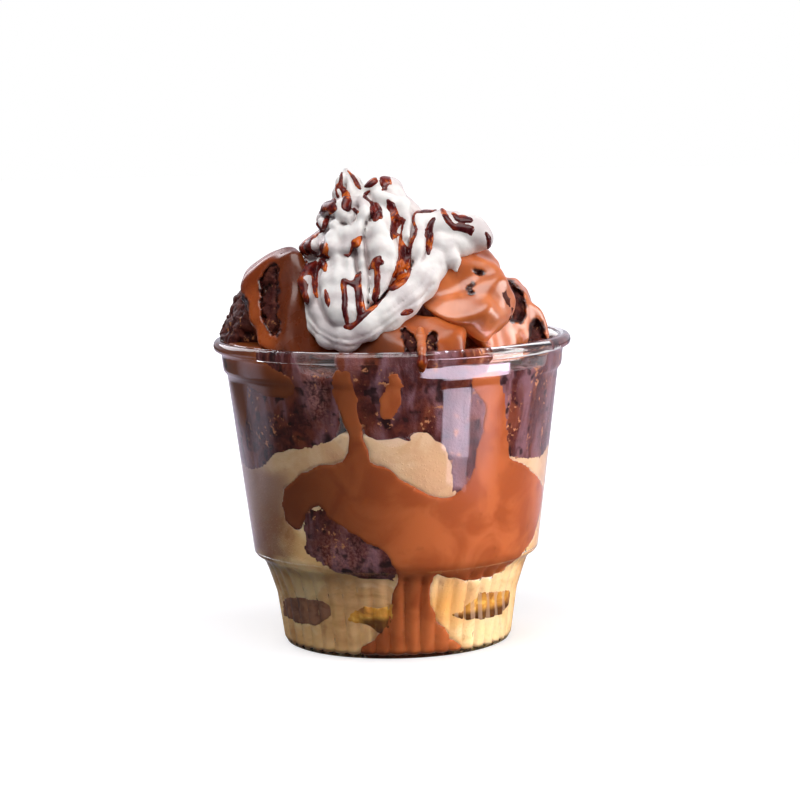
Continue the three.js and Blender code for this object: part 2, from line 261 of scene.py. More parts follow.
def made(name, nodes, points, faces, material, marks):
    """A piece in metres from points and four-sided faces, with marks for its material."""
    mesh = bpy.data.meshes.new(name)
    mesh.vertices.add(len(points))
    mesh.vertices.foreach_set("co", (points * MM).astype(np.float32).ravel())
    mesh.loops.add(faces.size)
    mesh.loops.foreach_set("vertex_index", faces.astype(np.int32).ravel())
    mesh.polygons.add(len(faces))
    mesh.polygons.foreach_set("loop_start", np.arange(0, faces.size, 4, dtype=np.int32))
    mesh.update(calc_edges=True)
    mesh.validate()
    mesh.shade_smooth()
    for mark, values in marks.items():
        layer = mesh.attributes.new(mark, "FLOAT", "POINT")
        layer.data.foreach_set("value", np.asarray(values, np.float32))
    return placed(mesh, nodes, material)


def formed(name, nodes, form, box, step, material, lumps=None, least=60):
    """A piece skinned from a form.

    lumps(points, normals) gives how far each point moves out, and its marks for the material.
    """
    low, high = box
    x, y, z = grid(low, high, step)
    field = closed(np.array(np.broadcast_to(form(x, y, z), (x.size, y.size, z.size)), np.float32))
    points, faces = skin(field, low, step)
    points, faces = without_strays(points, faces, least)
    marks = {"hollow": hollows(points, faces, HOLLOW_ROUNDS)}
    if lumps:
        normals = point_normals(points, faces)
        out, more_marks = lumps(points, normals)
        points = points + normals * out[:, None]
        marks.update(more_marks)
    return made(name, nodes, points, faces, material, marks)


# Node materials

class Nodes:
    """Adds nodes to a tree."""

    def __init__(self, tree):
        self.tree = tree

    def add(self, kind, settings=None, **inputs):
        node = self.tree.nodes.new(kind)
        for key, value in (settings or {}).items():
            setattr(node, key, value)
        for key, value in inputs.items():
            self.put(node.inputs[key.replace("_", " ")], value)
        return node

    def put(self, socket, value):
        if isinstance(value, bpy.types.NodeSocket):
            self.tree.links.new(value, socket)
        else:
            socket.default_value = value

    def level(self, value, low, high, start=0.0, end=1.0, kind="SMOOTHSTEP"):
        """A value stretched so that low gives start and high gives end."""
        node = self.add("ShaderNodeMapRange", {"interpolation_type": kind}, Value=value,
                        From_Min=low, From_Max=high, To_Min=start, To_Max=end)
        return node.outputs["Result"]

    def math(self, operation, *values):
        node = self.add("ShaderNodeMath", {"operation": operation})
        for socket, value in zip(node.inputs, values):
            self.put(socket, value)
        return node.outputs["Value"]

    def blend(self, share, one, other):
        """The first shader, or the other one by a share."""
        node = self.add("ShaderNodeMixShader", Fac=share)
        self.put(node.inputs[1], one)
        self.put(node.inputs[2], other)
        return node.outputs["Shader"]

    def looked_at(self):
        """1 for rays from the camera, straight or through clear plastic."""
        rays = self.add("ShaderNodeLightPath").outputs
        early = self.math("LESS_THAN", rays["Diffuse Depth"], 0.5)
        through = self.math("MULTIPLY", rays["Is Transmission Ray"], early)
        return self.math("MAXIMUM", rays["Is Camera Ray"], through)


class Look(Nodes):
    """The node tree of one material."""

    def __init__(self, name):
        self.material = bpy.data.materials.new(name)
        self.material.use_nodes = True
        super().__init__(self.material.node_tree)
        self.tree.nodes.clear()
        self.output = self.add("ShaderNodeOutputMaterial")
        self.place = self.add("ShaderNodeTexCoord").outputs["Object"]

    def noise(self, size_mm, detail=3.0, rough=0.55, warp=0.0):
        node = self.add("ShaderNodeTexNoise", Vector=self.place, Scale=1000.0 / size_mm, Detail=detail,
                        Roughness=rough, Distortion=warp)
        return node.outputs["Fac"]

    def cells(self, size_mm):
        node = self.add("ShaderNodeTexVoronoi", Vector=self.place, Scale=1000.0 / size_mm)
        return node.outputs["Distance"]

    def ramp(self, value, stops):
        node = self.add("ShaderNodeValToRGB", Fac=value)
        ramp = node.color_ramp
        ramp.interpolation = "EASE"
        while len(ramp.elements) < len(stops):
            ramp.elements.new(1.0)
        for element, (place, color) in zip(ramp.elements, stops):
            element.position = place
            element.color = (*color, 1.0)
        return node.outputs["Color"]

    def mixed(self, share, one, other, most=None):
        """The first colour, or the other one by a share, or by no more than most of that share."""
        node = self.add("ShaderNodeMix", {"data_type": "RGBA"})
        self.put(node.inputs[0], share if most is None else self.math("MULTIPLY", share, most))
        for socket, color in ((node.inputs[6], one), (node.inputs[7], other)):
            self.put(socket, color if isinstance(color, bpy.types.NodeSocket) else (*color, 1.0))
        return node.outputs[2]

    def mark(self, name):
        return self.add("ShaderNodeAttribute", {"attribute_name": name}).outputs["Fac"]

    def bump(self, height, depth_mm, strength=1.0, under=None):
        node = self.add("ShaderNodeBump", Height=height, Strength=strength, Distance=depth_mm * MM)
        if under is not None:
            self.put(node.inputs["Normal"], under)
        return node.outputs["Normal"]

    def shader(self, **inputs):
        return self.add("ShaderNodeBsdfPrincipled", **inputs).outputs["BSDF"]

    def rough(self, size_mm, low, high, detail=3.0):
        """A roughness that varies between two values."""
        return self.level(self.noise(size_mm, detail), 0.35, 0.65, low, high)

    def finish(self, shader):
        self.put(self.output.inputs["Surface"], shader)
        return self.material


def clear_plastic():
    n = Look("clear_plastic")
    swirl = n.noise(9.0, 2.0)
    fine = n.noise(0.7, 2.0)
    surface = n.bump(swirl, 0.05, 0.5)
    surface = n.bump(fine, 0.004, 0.25, surface)
    rough = n.level(n.noise(14.0, 3.0), 0.3, 0.7, 0.015, 0.05)
    clear = n.shader(Base_Color=(0.97, 0.97, 0.985, 1.0), Roughness=rough, Normal=surface,
                     Transmission_Weight=1.0, IOR=1.47)
    shadow = n.add("ShaderNodeLightPath").outputs["Is Shadow Ray"]
    passed = n.add("ShaderNodeBsdfTransparent", Color=(0.94, 0.94, 0.96, 1.0))
    return n.finish(n.blend(shadow, clear, passed.outputs["BSDF"]))


def ice_cream_paste():
    n = Look("ice_cream_paste")
    swirl = n.noise(16.0, 4.0, 0.6, 0.8)
    color = n.ramp(swirl, ((0.3, (0.56, 0.31, 0.12)), (0.46, (0.78, 0.51, 0.23)),
                           (0.62, (0.92, 0.70, 0.37))))
    stain = n.level(n.noise(7.0, 5.0, 0.65, 0.5), 0.56, 0.72)
    color = n.mixed(stain, color, (0.42, 0.21, 0.09), 0.45)
    color = n.mixed(n.mark("golden"), color, (0.86, 0.47, 0.12), 0.85)
    color = n.mixed(n.mark("smeared"), color, (0.22, 0.085, 0.052), 0.85)
    # Painted shade: from 36 to 46 mm up, the mass is darkened as if in shade
    height = n.add("ShaderNodeSeparateXYZ", Vector=n.place).outputs["Z"]
    color = n.mixed(n.level(height, 0.036, 0.046, 0.0, 0.5), color, (0.40, 0.27, 0.20))
    pores = n.level(n.cells(1.1), 0.0, 0.35, 1.0, 0.0)
    color = n.mixed(pores, color, (0.55, 0.38, 0.2), 0.18)
    surface = n.bump(n.noise(1.6, 5.0, 0.6), 0.25, 0.6)
    surface = n.bump(pores, 0.15, 0.4, surface)
    paste = n.shader(Base_Color=color, Roughness=n.level(swirl, 0.3, 0.7, 0.3, 0.5), Normal=surface,
                     Subsurface_Weight=0.35, Subsurface_Radius=(1.0, 0.6, 0.3), Subsurface_Scale=0.002,
                     Specular_IOR_Level=0.06)
    return n.finish(paste)


def pocket_syrup():
    """The syrup in the foot: brown on the left, then golden, dark low down, and on the right with pale
    upright streaks that are painted highlights of the cup's flutes.
    """
    n = Look("pocket_syrup")
    swirl = n.noise(5.0, 4.0, 0.6, 0.6)
    golden = n.ramp(swirl, ((0.34, (0.34, 0.14, 0.03)), (0.5, (0.62, 0.30, 0.05)),
                            (0.64, (0.85, 0.52, 0.10))))
    brown = n.ramp(swirl, ((0.35, (0.17, 0.075, 0.045)), (0.65, (0.32, 0.16, 0.09))))
    sides = n.add("ShaderNodeSeparateXYZ", Vector=n.place).outputs
    color = n.mixed(n.level(sides["X"], -0.0175, -0.0145), brown, golden)
    low = n.level(sides["Z"], 0.0125, 0.0105)
    color = n.mixed(low, color, (0.07, 0.018, 0.004), n.level(sides["X"], -0.011, -0.008, 0.0, 0.9))
    # Painted highlights: pale upright lines on the right pocket, standing for the bright lines of the
    # cup's flutes
    painted_flute_lines = n.level(n.math("SINE", n.math("MULTIPLY", sides["X"], 2900.0)), -0.2, 0.5)
    color = n.mixed(painted_flute_lines, color, (0.55, 0.38, 0.24), n.level(sides["X"], 0.008, 0.011, 0.0, 0.55))
    surface = n.bump(n.noise(2.5, 3.0), 0.25, 0.5)
    syrup = n.shader(Base_Color=color, Roughness=n.level(swirl, 0.3, 0.7, 0.15, 0.3), Normal=surface,
                     Subsurface_Weight=0.3, Subsurface_Radius=(1.0, 0.5, 0.2), Subsurface_Scale=0.002,
                     Specular_IOR_Level=0.06)
    return n.finish(syrup)


def brownie_crumb(name, sheen, smear_and_reflection):
    """Moist cake; smear_and_reflection sets how strongly it shows a brown smear on the cup's wall and long
    lilac streaks, which are partly a mauve smear and partly painted lavender reflection.
    """
    n = Look(name)
    lumps = n.noise(3.2, 5.0, 0.62, 0.3)
    fine = n.noise(0.75, 4.0, 0.65)
    color = n.ramp(lumps, ((0.3, (0.028, 0.0042, 0.0042)), (0.5, (0.062, 0.0105, 0.0085)),
                           (0.7, (0.125, 0.028, 0.016))))
    color = n.mixed(n.level(fine, 0.52, 0.75, 0.0, 0.5), color, (0.18, 0.05, 0.026))
    # Painted reflection: long upright lilac streaks, partly a mauve smear on the wall and partly the
    # wall's lavender sheen
    long_way = n.add("ShaderNodeMapping", Vector=n.place, Scale=(1.0, 1.0, 0.3))
    reflection_streak = n.add("ShaderNodeTexNoise", Vector=long_way.outputs["Vector"], Scale=210.0, Detail=3.0,
                   Distortion=0.4)
    smear = n.level(n.noise(13.0, 2.0, 0.5, 0.6), 0.5, 0.6, 0.0, smear_and_reflection)
    color = n.mixed(smear, color, (0.18, 0.042, 0.017))
    color = n.mixed(n.level(reflection_streak.outputs["Fac"], 0.43, 0.7, 0.0, smear_and_reflection), color, (0.24, 0.12, 0.135))
    color = n.mixed(n.mark("pale"), color, (0.42, 0.19, 0.16), n.level(fine, 0.4, 0.6))
    # Painted highlight: the tops of the crumb's lumps are lighter
    peak_highlight = n.level(n.mark("lump"), 0.1, 0.75)
    color = n.mixed(peak_highlight, color, (0.16, 0.042, 0.022), 0.4)
    # Painted shade: the pits of the crumb's relief go nearly black
    hollow = n.level(n.mark("lump"), -0.2, -1.1)
    color = n.mixed(hollow, color, (0.009, 0.0014, 0.0016), 0.85)
    # Golden specks: partly crumbs of a lighter colour, partly painted glints
    specks = n.level(n.noise(1.5, 3.0, 0.6), 0.57, 0.64)
    gold = n.math("MULTIPLY", specks, n.level(n.noise(7.0, 2.0), 0.53, 0.6))
    color = n.mixed(gold, color, (0.50, 0.21, 0.09))
    surface = n.bump(lumps, 0.9, 0.7)
    surface = n.bump(fine, 0.35, 0.8, surface)
    surface = n.bump(n.noise(0.28, 3.0, 0.6), 0.1, 0.6, surface)
    crumb = n.shader(Base_Color=color, Roughness=n.rough(2.2, 0.42, 0.8), Normal=surface,
                     Specular_IOR_Level=sheen)
    return n.finish(crumb)


def milk_chocolate(name, light, dark, gloss, sheen, shaded_side):
    """Sauce that is darker towards one side of the sundae as painted shade, darker in its folds as painted
    shade, and darker where it lies thin.

    shaded_side gives the two places along X, in metres, between which the painted shade of the dark side
    ends.
    """
    n = Look(name)
    swirl = n.noise(11.0, 3.0, 0.5, 0.7)
    color = n.mixed(n.level(swirl, 0.35, 0.65), dark, light)
    sides = n.add("ShaderNodeSeparateXYZ", Vector=n.place).outputs
    # Painted shade: the sauce darkens towards one side, by up to 0.78 of a darker copy, where it lies in
    # shade
    side = n.level(sides["X"], *shaded_side, 0.78, 0.0)
    color = n.mixed(side, color, tuple(c * 0.4 for c in dark))
    color = n.mixed(n.level(n.mark("bare"), 0.0, 1.0), color, (0.035, 0.006, 0.005))
    thin = n.level(n.noise(3.4, 3.0, 0.55), 0.6, 0.78, 0.0, 0.3)
    color = n.mixed(thin, color, tuple(c * 0.6 for c in dark))
    # Painted shade: darker in the folds, where the hollow mark is deep
    fold = n.level(n.mark("hollow"), 0.05, 0.45, 0.0, 0.65)
    color = n.mixed(fold, color, tuple(c * 0.4 for c in dark))
    surface = n.bump(n.noise(9.0, 1.0), 0.3, 0.3)
    surface = n.bump(n.noise(1.3, 3.0), 0.02, 0.3, surface)
    sauce = n.shader(Base_Color=color, Roughness=n.rough(5.0, gloss, gloss + 0.12),
                     Normal=surface, Specular_IOR_Level=sheen,
                     Subsurface_Weight=0.12, Subsurface_Radius=(1.0, 0.35, 0.15), Subsurface_Scale=0.0015,
                     Coat_Weight=sheen * 0.5, Coat_Roughness=0.2)
    return n.finish(sauce)


def cream_foam():
    n = Look("cream_foam")
    swirl = n.noise(8.0, 3.0)
    color = n.ramp(swirl, ((0.35, (0.68, 0.62, 0.62)), (0.6, (0.85, 0.83, 0.81))))
    # Painted shade: the foam greys in its creases, where the hollow mark is deep
    crease = n.level(n.mark("hollow"), 0.0, 0.4, 0.0, 0.85)
    color = n.mixed(crease, color, (0.52, 0.42, 0.42))
    pores = n.level(n.cells(0.55), 0.0, 0.3, 1.0, 0.0)
    surface = n.bump(n.noise(2.4, 4.0, 0.6), 0.18, 0.5)
    surface = n.bump(n.noise(0.45, 3.0, 0.6), 0.05, 0.5, surface)
    surface = n.bump(pores, -0.05, 0.35, surface)
    foam = n.shader(Base_Color=color, Roughness=n.rough(3.0, 0.42, 0.58), Normal=surface,
                    Subsurface_Weight=0.15, Subsurface_Radius=(1.0, 0.8, 0.7), Subsurface_Scale=0.0006)
    return n.finish(foam)


def dark_syrup():
    n = Look("dark_syrup")
    swirl = n.noise(5.0, 3.0, 0.6, 0.5)
    color = n.ramp(swirl, ((0.42, (0.060, 0.0045, 0.0065)), (0.53, (0.16, 0.013, 0.007)),
                           (0.62, (0.58, 0.115, 0.010))))
    edge = n.level(n.mark("inner"), 0.35, 0.0, 0.0, 0.35)
    color = n.mixed(edge, color, (0.24, 0.035, 0.012))
    surface = n.bump(n.noise(1.8, 3.0), 0.1, 0.4)
    syrup = n.shader(Base_Color=color, Roughness=n.rough(2.0, 0.2, 0.32, 2.0), Normal=surface,
                     Specular_IOR_Level=0.25, Coat_Weight=0.1, Coat_Roughness=0.08)
    return n.finish(syrup)


CLEAR = clear_plastic()
ICE_CREAM = ice_cream_paste()
POCKET = pocket_syrup()
CRUMB = brownie_crumb("brownie_crumb", 0.18, 0.0)
WALL_CRUMB = brownie_crumb("brownie_crumb_at_the_wall", 0.05, 0.8)
# The coats are one milk chocolate in lit and shaded copies, as painted light and shade: brightest on the
# right-hand chunks, darker at the front, and darkest, the shaded coat, on the top-left chunk
SAUCE = milk_chocolate("milk_chocolate", (0.43, 0.120, 0.032), (0.31, 0.072, 0.017),
                       0.3, 0.05, (-0.028, 0.010))
COAT = milk_chocolate("milk_chocolate_coat", (0.68, 0.185, 0.046), (0.48, 0.108, 0.020),
                      0.28, 0.75, (-0.024, -0.004))
FRONT_COAT = milk_chocolate("milk_chocolate_front_coat", (0.49, 0.115, 0.024), (0.33, 0.066, 0.011),
                            0.28, 0.35, (-0.002, 0.006))
SHADED_COAT = milk_chocolate("milk_chocolate_shaded_coat", (0.38, 0.078, 0.013), (0.24, 0.040, 0.006),
                           0.22, 0.4, (-0.0285, -0.0335))
COATS = {"brownie_top_left": SHADED_COAT, "brownie_front": FRONT_COAT}
FOAM = cream_foam()
SYRUP = dark_syrup()


# The cup

OUTER_PROFILE = (
    (0, 1.4), (26.2, 1.4), (26.9, 0.9), (27.4, 0.2), (28, 0), (29.8, 0), (30.7, 0.4), (31.2, 1.8),
    (32.1, 8),
    (33, 14.2), (34.1, 17.6), (35.2, 20.9), (36, 22.6), (37.4, 24.2), (38.7, 25), (39.15, 25.6),
    (39.3, 26.6),
    (40.5, 36), (42, 47.8), (43.5, 59.6), (45.4, 74.6), (45.8, 75.2), (46.35, 75.8), (46.5, 76.6),
    (46.9, 80.7),
    (47.4, 81.2), (48.2, 81.2), (48.8, 81.6), (49, 82.4), (48.9, 83.2), (48.4, 83.9), (47.8, 84.2),
)
# The rolled edge, over the top and back to the inner wall
RIM_ROLL = ((47.2, 84.25), (46.5, 84.1), (46.0, 83.7))
# Steps between the points of the profile, and how long a run is that gets wider ones
PROFILE_STEP = 1.2
LONG_RUN = 20
FLOOR_STEP = 8


def fine_profile(corners, step):
    """The profile with points a step apart, and wider in the middle of a long straight run."""
    points = [corners[0]]
    for (r0, z0), (r1, z1) in zip(corners, corners[1:]):
        length = math.hypot(r1 - r0, z1 - z0)
        if length > LONG_RUN:
            count = math.ceil(length / step / 3)
            shares = [0.5 - 0.5 * math.cos(math.pi * n / count) for n in range(1, count + 1)]
        else:
            count = max(1, math.ceil(length / step))
            shares = [n / count for n in range(1, count + 1)]
        points += [(r0 + (r1 - r0) * share, z0 + (z1 - z0) * share) for share in shares]
    return np.array(points)


def flute(angle, height):
    """How far the fluted wall of the foot stands out at an angle and height."""
    fade = smoothstep(height, *FLUTE_FADE[:2]) * (1 - smoothstep(height, *FLUTE_FADE[2:]))
    aside = np.abs(np.cos(angle * FLUTES / 2))
    return FLUTE_RELIEF * fade * (0.9 * aside - 0.8 * np.exp(-aside / 0.16) - 0.4)


def cup():
    outside = fine_profile(OUTER_PROFILE, PROFILE_STEP)
    inside = fine_profile(tuple(zip(WALL_RADII, WALL_HEIGHTS))[::-1], PROFILE_STEP * 2)
    floor = fine_profile(((WALL_RADII[0], INSIDE_FLOOR), (0, INSIDE_FLOOR)), FLOOR_STEP)
    inside = np.vstack([inside, floor[1:]])
    profile = np.vstack([outside, np.array(RIM_ROLL), inside])
    starts = (np.arange(FLUTES) + 0.5) * (2 * math.pi / FLUTES)
    angles = (starts[:, None] + np.array(CREASE_SHARES) * (2 * math.pi / FLUTES)).ravel()
    radius, height = profile[:, 0], profile[:, 1]
    wide = radius[:, None] + flute(angles[None, :], height[:, None])
    upward = np.broadcast_to(height[:, None], wide.shape)
    ring = np.stack([wide * np.sin(angles), -wide * np.cos(angles), upward], 2)
    rows = len(profile)
    points = np.vstack([ring[1:-1].reshape(-1, 3), [[0, 0, profile[0, 1]], [0, 0, profile[-1, 1]]]])
    here = np.arange(len(angles))
    beyond = (here + 1) % len(angles)
    faces = []
    for row in range(rows - 3):
        low, high = row * len(angles), (row + 1) * len(angles)
        faces.append(np.stack([low + here, low + beyond, high + beyond, high + here], 1))
    faces = np.concatenate(faces)
    bottom, top = len(points) - 2, len(points) - 1
    last = (rows - 3) * len(angles)
    fans = [(bottom, b, a) for a, b in zip(here, beyond)]
    fans += [(top, last + a, last + b) for a, b in zip(here, beyond)]
    mesh = bpy.data.meshes.new("cup_clear")
    mesh.from_pydata((points * MM).tolist(), [], faces.tolist() + fans)
    mesh.validate()
    mesh.shade_smooth()
    return placed(mesh, ["cup"], CLEAR)


def wall_radius(z):
    return np.interp(z, WALL_HEIGHTS, WALL_RADII).astype(np.float32)


def in_cup(x, y, z, bite):
    """The room in the cup, reaching a bite into its wall; above the rim it opens out."""
    flare = smoothstep(z, RIM_TOP, RIM_TOP + 1.2) * 1.6
    across = np.hypot(x, y)
    sink = FOOT_SINK * smoothstep(across, 27.2, 28.2)
    wall = across - wall_radius(np.maximum(z, INSIDE_FLOOR + 1)) - flute(np.arctan2(x, -y), z)
    wall = wall - bite - flare
    return np.maximum(wall, INSIDE_FLOOR - bite - sink - z)


# Marks on the wall: outlines by angle from the front in degrees and height

# Step of the raster in degrees and millimetres
RASTER = 0.5
# The wall's radius half way up, about, for the wobble of the outlines
MIDDLE_RADIUS = 40


def wall_marks(outlines, blur, seed):
    """Distances in millimetres from outlines on the wall, on a raster of angle and height."""
    angle = np.arange(-180, 180.01, RASTER)
    height = np.arange(0, 90.01, RASTER)
    radius = wall_radius(height)
    x = np.radians(angle)[:, None] * radius[None, :]
    y = np.broadcast_to(height[None, :], x.shape)
    total = np.full(x.shape, 1e3)
    for outline in outlines:
        corners = np.array([(math.radians(a) * float(wall_radius(h)), h) for a, h in outline])
        for turn in (-360, 0, 360):
            away = outline_distance(x + math.radians(turn) * radius[None, :], y, corners)
            total = joined(total, away, 1.2)
    for _ in range(blur):
        total = (np.roll(total, 1, 0) + total + np.roll(total, -1, 0)) / 3
        padded = np.pad(total, ((0, 0), (1, 1)), mode="edge")
        total = (padded[:, :-2] + padded[:, 1:-1] + padded[:, 2:]) / 3
    turn = np.radians(angle)[:, None] + 0 * y
    round_wall = np.stack([np.cos(turn) * MIDDLE_RADIUS, np.sin(turn) * MIDDLE_RADIUS, y], 2)
    wobble = noise(round_wall.reshape(-1, 3), 4.5, seed).reshape(x.shape)
    return total + wobble * 0.45


def outline_distance(x, y, corners):
    """Distance from a closed outline, below nought inside it."""
    nearest = np.full(x.shape, 1e6)
    inside = np.zeros(x.shape, bool)
    for (ax, ay), (bx, by) in zip(corners, np.roll(corners, -1, axis=0)):
        dx, dy = bx - ax, by - ay
        share = np.clip(((x - ax) * dx + (y - ay) * dy) / (dx * dx + dy * dy + 1e-9), 0, 1)
        nearest = np.minimum(nearest, (x - ax - share * dx) ** 2 + (y - ay - share * dy) ** 2)
        straddles = (ay > y) != (by > y)
        inside ^= straddles & (x < dx * (y - ay) / (dy if dy else 1e-9) + ax)
    return np.where(inside, -1, 1) * np.sqrt(nearest)


def read_marks(marks, x, y, z):
    """The raster's distances at points of the room."""
    angle = (np.degrees(np.arctan2(x, -y)) + 180) / RASTER
    height = np.clip(z, 0, 89.9) / RASTER
    angle, height = np.broadcast_arrays(angle, height)
    a = np.clip(angle.astype(np.int32), 0, marks.shape[0] - 2)
    h = np.clip(height.astype(np.int32), 0, marks.shape[1] - 2)
    sa, sh = angle - a, height - h
    low = marks[a, h] * (1 - sa) + marks[a + 1, h] * sa
    high = marks[a, h + 1] * (1 - sa) + marks[a + 1, h + 1] * sa
    return (low * (1 - sh) + high * sh).astype(np.float32)


def behind_outlines(marks, x, y, z, depth, soft):
    """What lies behind outlines on the wall, to a depth."""
    return shared(read_marks(marks, x, y, z), wall_radius(z) - np.hypot(x, y) - depth, soft)


SAUCE_OUTLINES = (
    # the broad pool across the front
    ((-48, 42), (-47, 37.3), (-42, 34.8), (-38, 36), (-36, 38.5), (-33, 42), (-29, 43), (-26, 39),
     (-22, 38),
     (-14, 33.9), (-5, 30), (0, 27), (4, 25.5), (14, 25), (30, 25.2), (48, 25.6), (61, 25.5),
     (72, 29), (80, 36),
     (82, 41.4), (68, 46.8), (54, 51.8), (47, 53.2), (33, 54.1), (29, 51.7), (25, 47.8), (22, 45.3),
     (17, 45),
     (11, 46.6), (4, 50), (-4, 54), (-12, 55.6), (-18, 55), (-28, 53.9), (-37, 50.8), (-46, 46.5)),
    # its fringe under the shoulder and the stem down to the foot
    ((10, 27), (14, 25.5), (23, 22.1), (35, 20.4), (47, 20.6), (61, 24), (58, 28)),
    ((-2, 28), (0, 24), (-2, 16.5), (-6, 9.5), (-11, 5.8), (-20, 2.6), (-20, 0), (36, 0), (34, 2.6),
     (27, 5.6),
     (20, 9.8), (16, 14.7), (15, 19.5), (17, 28)),
    # runs that come down from the chunks
    ((-17.5, 80), (-20, 78), (-21, 72.9), (-19.5, 69.7), (-18, 65.2), (-15.5, 62), (-16.5, 57.7),
     (-20, 53), (-8, 53),
     (-9, 58.3), (-10.5, 61), (-11, 66.9), (-12, 73.8), (-12.5, 80)),
    ((25, 78), (26, 75), (28.5, 72.6), (33, 69), (33, 62), (30, 57), (29, 50), (46, 50), (46, 54.4),
     (45, 58.5),
     (43.5, 65.4), (42.5, 70.9), (39.5, 75.3), (38, 78)),
    ((-1, 79), (3, 79), (4.5, 76.4), (3.5, 72.1), (3, 68.3), (0, 66), (-4, 66), (-5.5, 69),
     (-4.5, 72.5), (-3, 76)),
    ((-88, 84), (-86, 77), (-72, 76), (-60, 73.5), (-48, 71), (-41, 70.2), (-35.5, 71.8),
     (-34, 74.4), (-36, 77.6),
     (-43, 80.4), (-52, 84)),
    # the sides and the back
    ((90, 47), (96, 52.5), (106, 54.5), (118, 53), (122, 56.5), (123, 66), (123.5, 83), (134, 83),
     (134, 66), (133, 55),
     (137, 47.5), (134, 41), (127, 38), (122, 31.5), (117.5, 28), (112.5, 31), (108, 35),
     (99, 35.5), (91, 40)),
    ((171, 83), (170, 72), (171.5, 62), (168.5, 54), (169, 46), (175, 41), (180, 35), (184, 36),
     (186, 42), (190, 49),
     (187, 57), (184.5, 66), (187, 75), (188, 83)),
    ((-141, 83), (-140, 72), (-137.5, 62), (-141, 54), (-146, 48), (-144, 41), (-137, 38),
     (-132, 33.5), (-127.5, 37),
     (-124, 43), (-126, 52), (-123.5, 60), (-125, 72), (-122, 83)),
    ((-86, 79), (-86, 74), (-80, 67), (-73, 62), (-67, 61), (-62, 66), (-60, 73), (-64, 80)),
)
POCKET_OUTLINES = (
    ((-74, 13.1), (-54, 15.6), (-37, 15.8), (-33, 14.2), (-34.5, 10.7), (-42, 8.3), (-59, 7.5),
     (-77, 8)),
    ((-25, 11.1), (-22, 13.8), (-15, 15.1), (-8, 14.4), (-2, 16), (-1, 13.1), (-2, 9.5), (-6, 7),
     (-11, 7.5), (-16, 9.7),
     (-23, 10.1)),
    ((25, 11.1), (27, 12.4), (33, 12.6), (37, 14.8), (43, 16.5), (52, 16.3), (66, 15.4), (74, 12),
     (64, 8.4), (45, 8.8),
     (32, 9.6)),
    ((98, 11.4), (106, 14), (117, 13.2), (124, 11.6), (114, 9.6), (104, 10)),
    ((143, 15), (150, 17.4), (159, 15.4), (156, 12.8), (147, 12.6)),
    ((-174, 10.6), (-164, 13), (-152, 12.4), (-145, 10.8), (-156, 9.2), (-168, 9.4)),
    ((-127, 14), (-119, 16.2), (-109, 14.6), (-112, 12), (-122, 11.8)),
)
LIGHT_SAUCE_DEPTH = 9.0
CORE_RADIUS = 33.0
CORE_FOOT = 54.0
CORE_TOP = 81.5
# Top of the pale mass at the wall: angles and heights; further in it is level
ICE_CREAM_ANGLES = (-180, -150, -120, -90, -58, -48, -39, -24, -17, -5, 4, 11,
                    18, 25, 33, 44, 58, 72, 86, 104, 128, 154, 180)
ICE_CREAM_HEIGHTS = (57, 60, 55, 52.5, 52.5, 57, 59.2, 61, 63, 62, 63.2, 65,
                     65.4, 63.5, 58, 55.5, 54, 53.5, 56, 59, 54.5, 58.5, 57)
ICE_CREAM_TOP = 56
POCKET_DEPTH = 2.5

sauce_marks = wall_marks(SAUCE_OUTLINES, 2, 5)
pocket_marks = wall_marks(POCKET_OUTLINES, 1, 9)


def sauce_form(x, y, z):
    patch = behind_outlines(sauce_marks, x, y, z, LIGHT_SAUCE_DEPTH, 2.0)
    top = CORE_TOP + 1.1 * relief(x, y, 0 * z, 33, 26)
    core = shared(shared(np.hypot(x, y) - CORE_RADIUS, z - top, 2.0), CORE_FOOT - z, 2.0)
    return np.maximum(joined(patch, core, 1.6), in_cup(x, y, z, SAUCE_BITE))


def ice_cream_form(x, y, z):
    at_wall = np.interp(np.degrees(np.arctan2(x, -y)), ICE_CREAM_ANGLES, ICE_CREAM_HEIGHTS)
    top = ICE_CREAM_TOP + (at_wall - ICE_CREAM_TOP) * smoothstep(np.hypot(x, y), 26, 36)
    top = top + 0.6 * relief(x, y, 0 * z, 21, 12)
    room = shared(in_cup(x, y, z, ICE_CREAM_BITE), z - top, 0.8)
    patch = behind_outlines(sauce_marks, x, y, z, LIGHT_SAUCE_DEPTH, 2.0)
    return np.maximum(room, -(patch + 0.4))


def ice_cream_marks(points, normals):
    """Marks where the mass is golden, at the front of the foot, and smeared with sauce, on the left."""
    x, y, z = (points[:, n] for n in range(3))
    angle = np.degrees(np.arctan2(x, -y))
    golden = np.exp(-((angle - 22) / 12) ** 2 - ((z - 14) / 7) ** 2)
    swell = 2.5 * noise(points, 8.0, 75)
    smeared = smoothstep(x + swell, -26, -31) * smoothstep(y, 12, -8) * smoothstep(z + swell, 24, 28)
    smeared = smeared * smoothstep(z + swell, 54, 49)
    return np.zeros(len(points)), {"golden": golden, "smeared": smeared}


def pocket_form(x, y, z):
    pocket = behind_outlines(pocket_marks, x, y, z, POCKET_DEPTH, 1.5)
    return np.maximum(pocket, in_cup(x, y, z, ICE_CREAM_BITE + 0.15))


# Brownie chunks

def around(angle, radius, z):
    """The place at an angle from the front, a distance from the axis and a height."""
    return (radius * math.sin(math.radians(angle)), -radius * math.cos(math.radians(angle)), z)


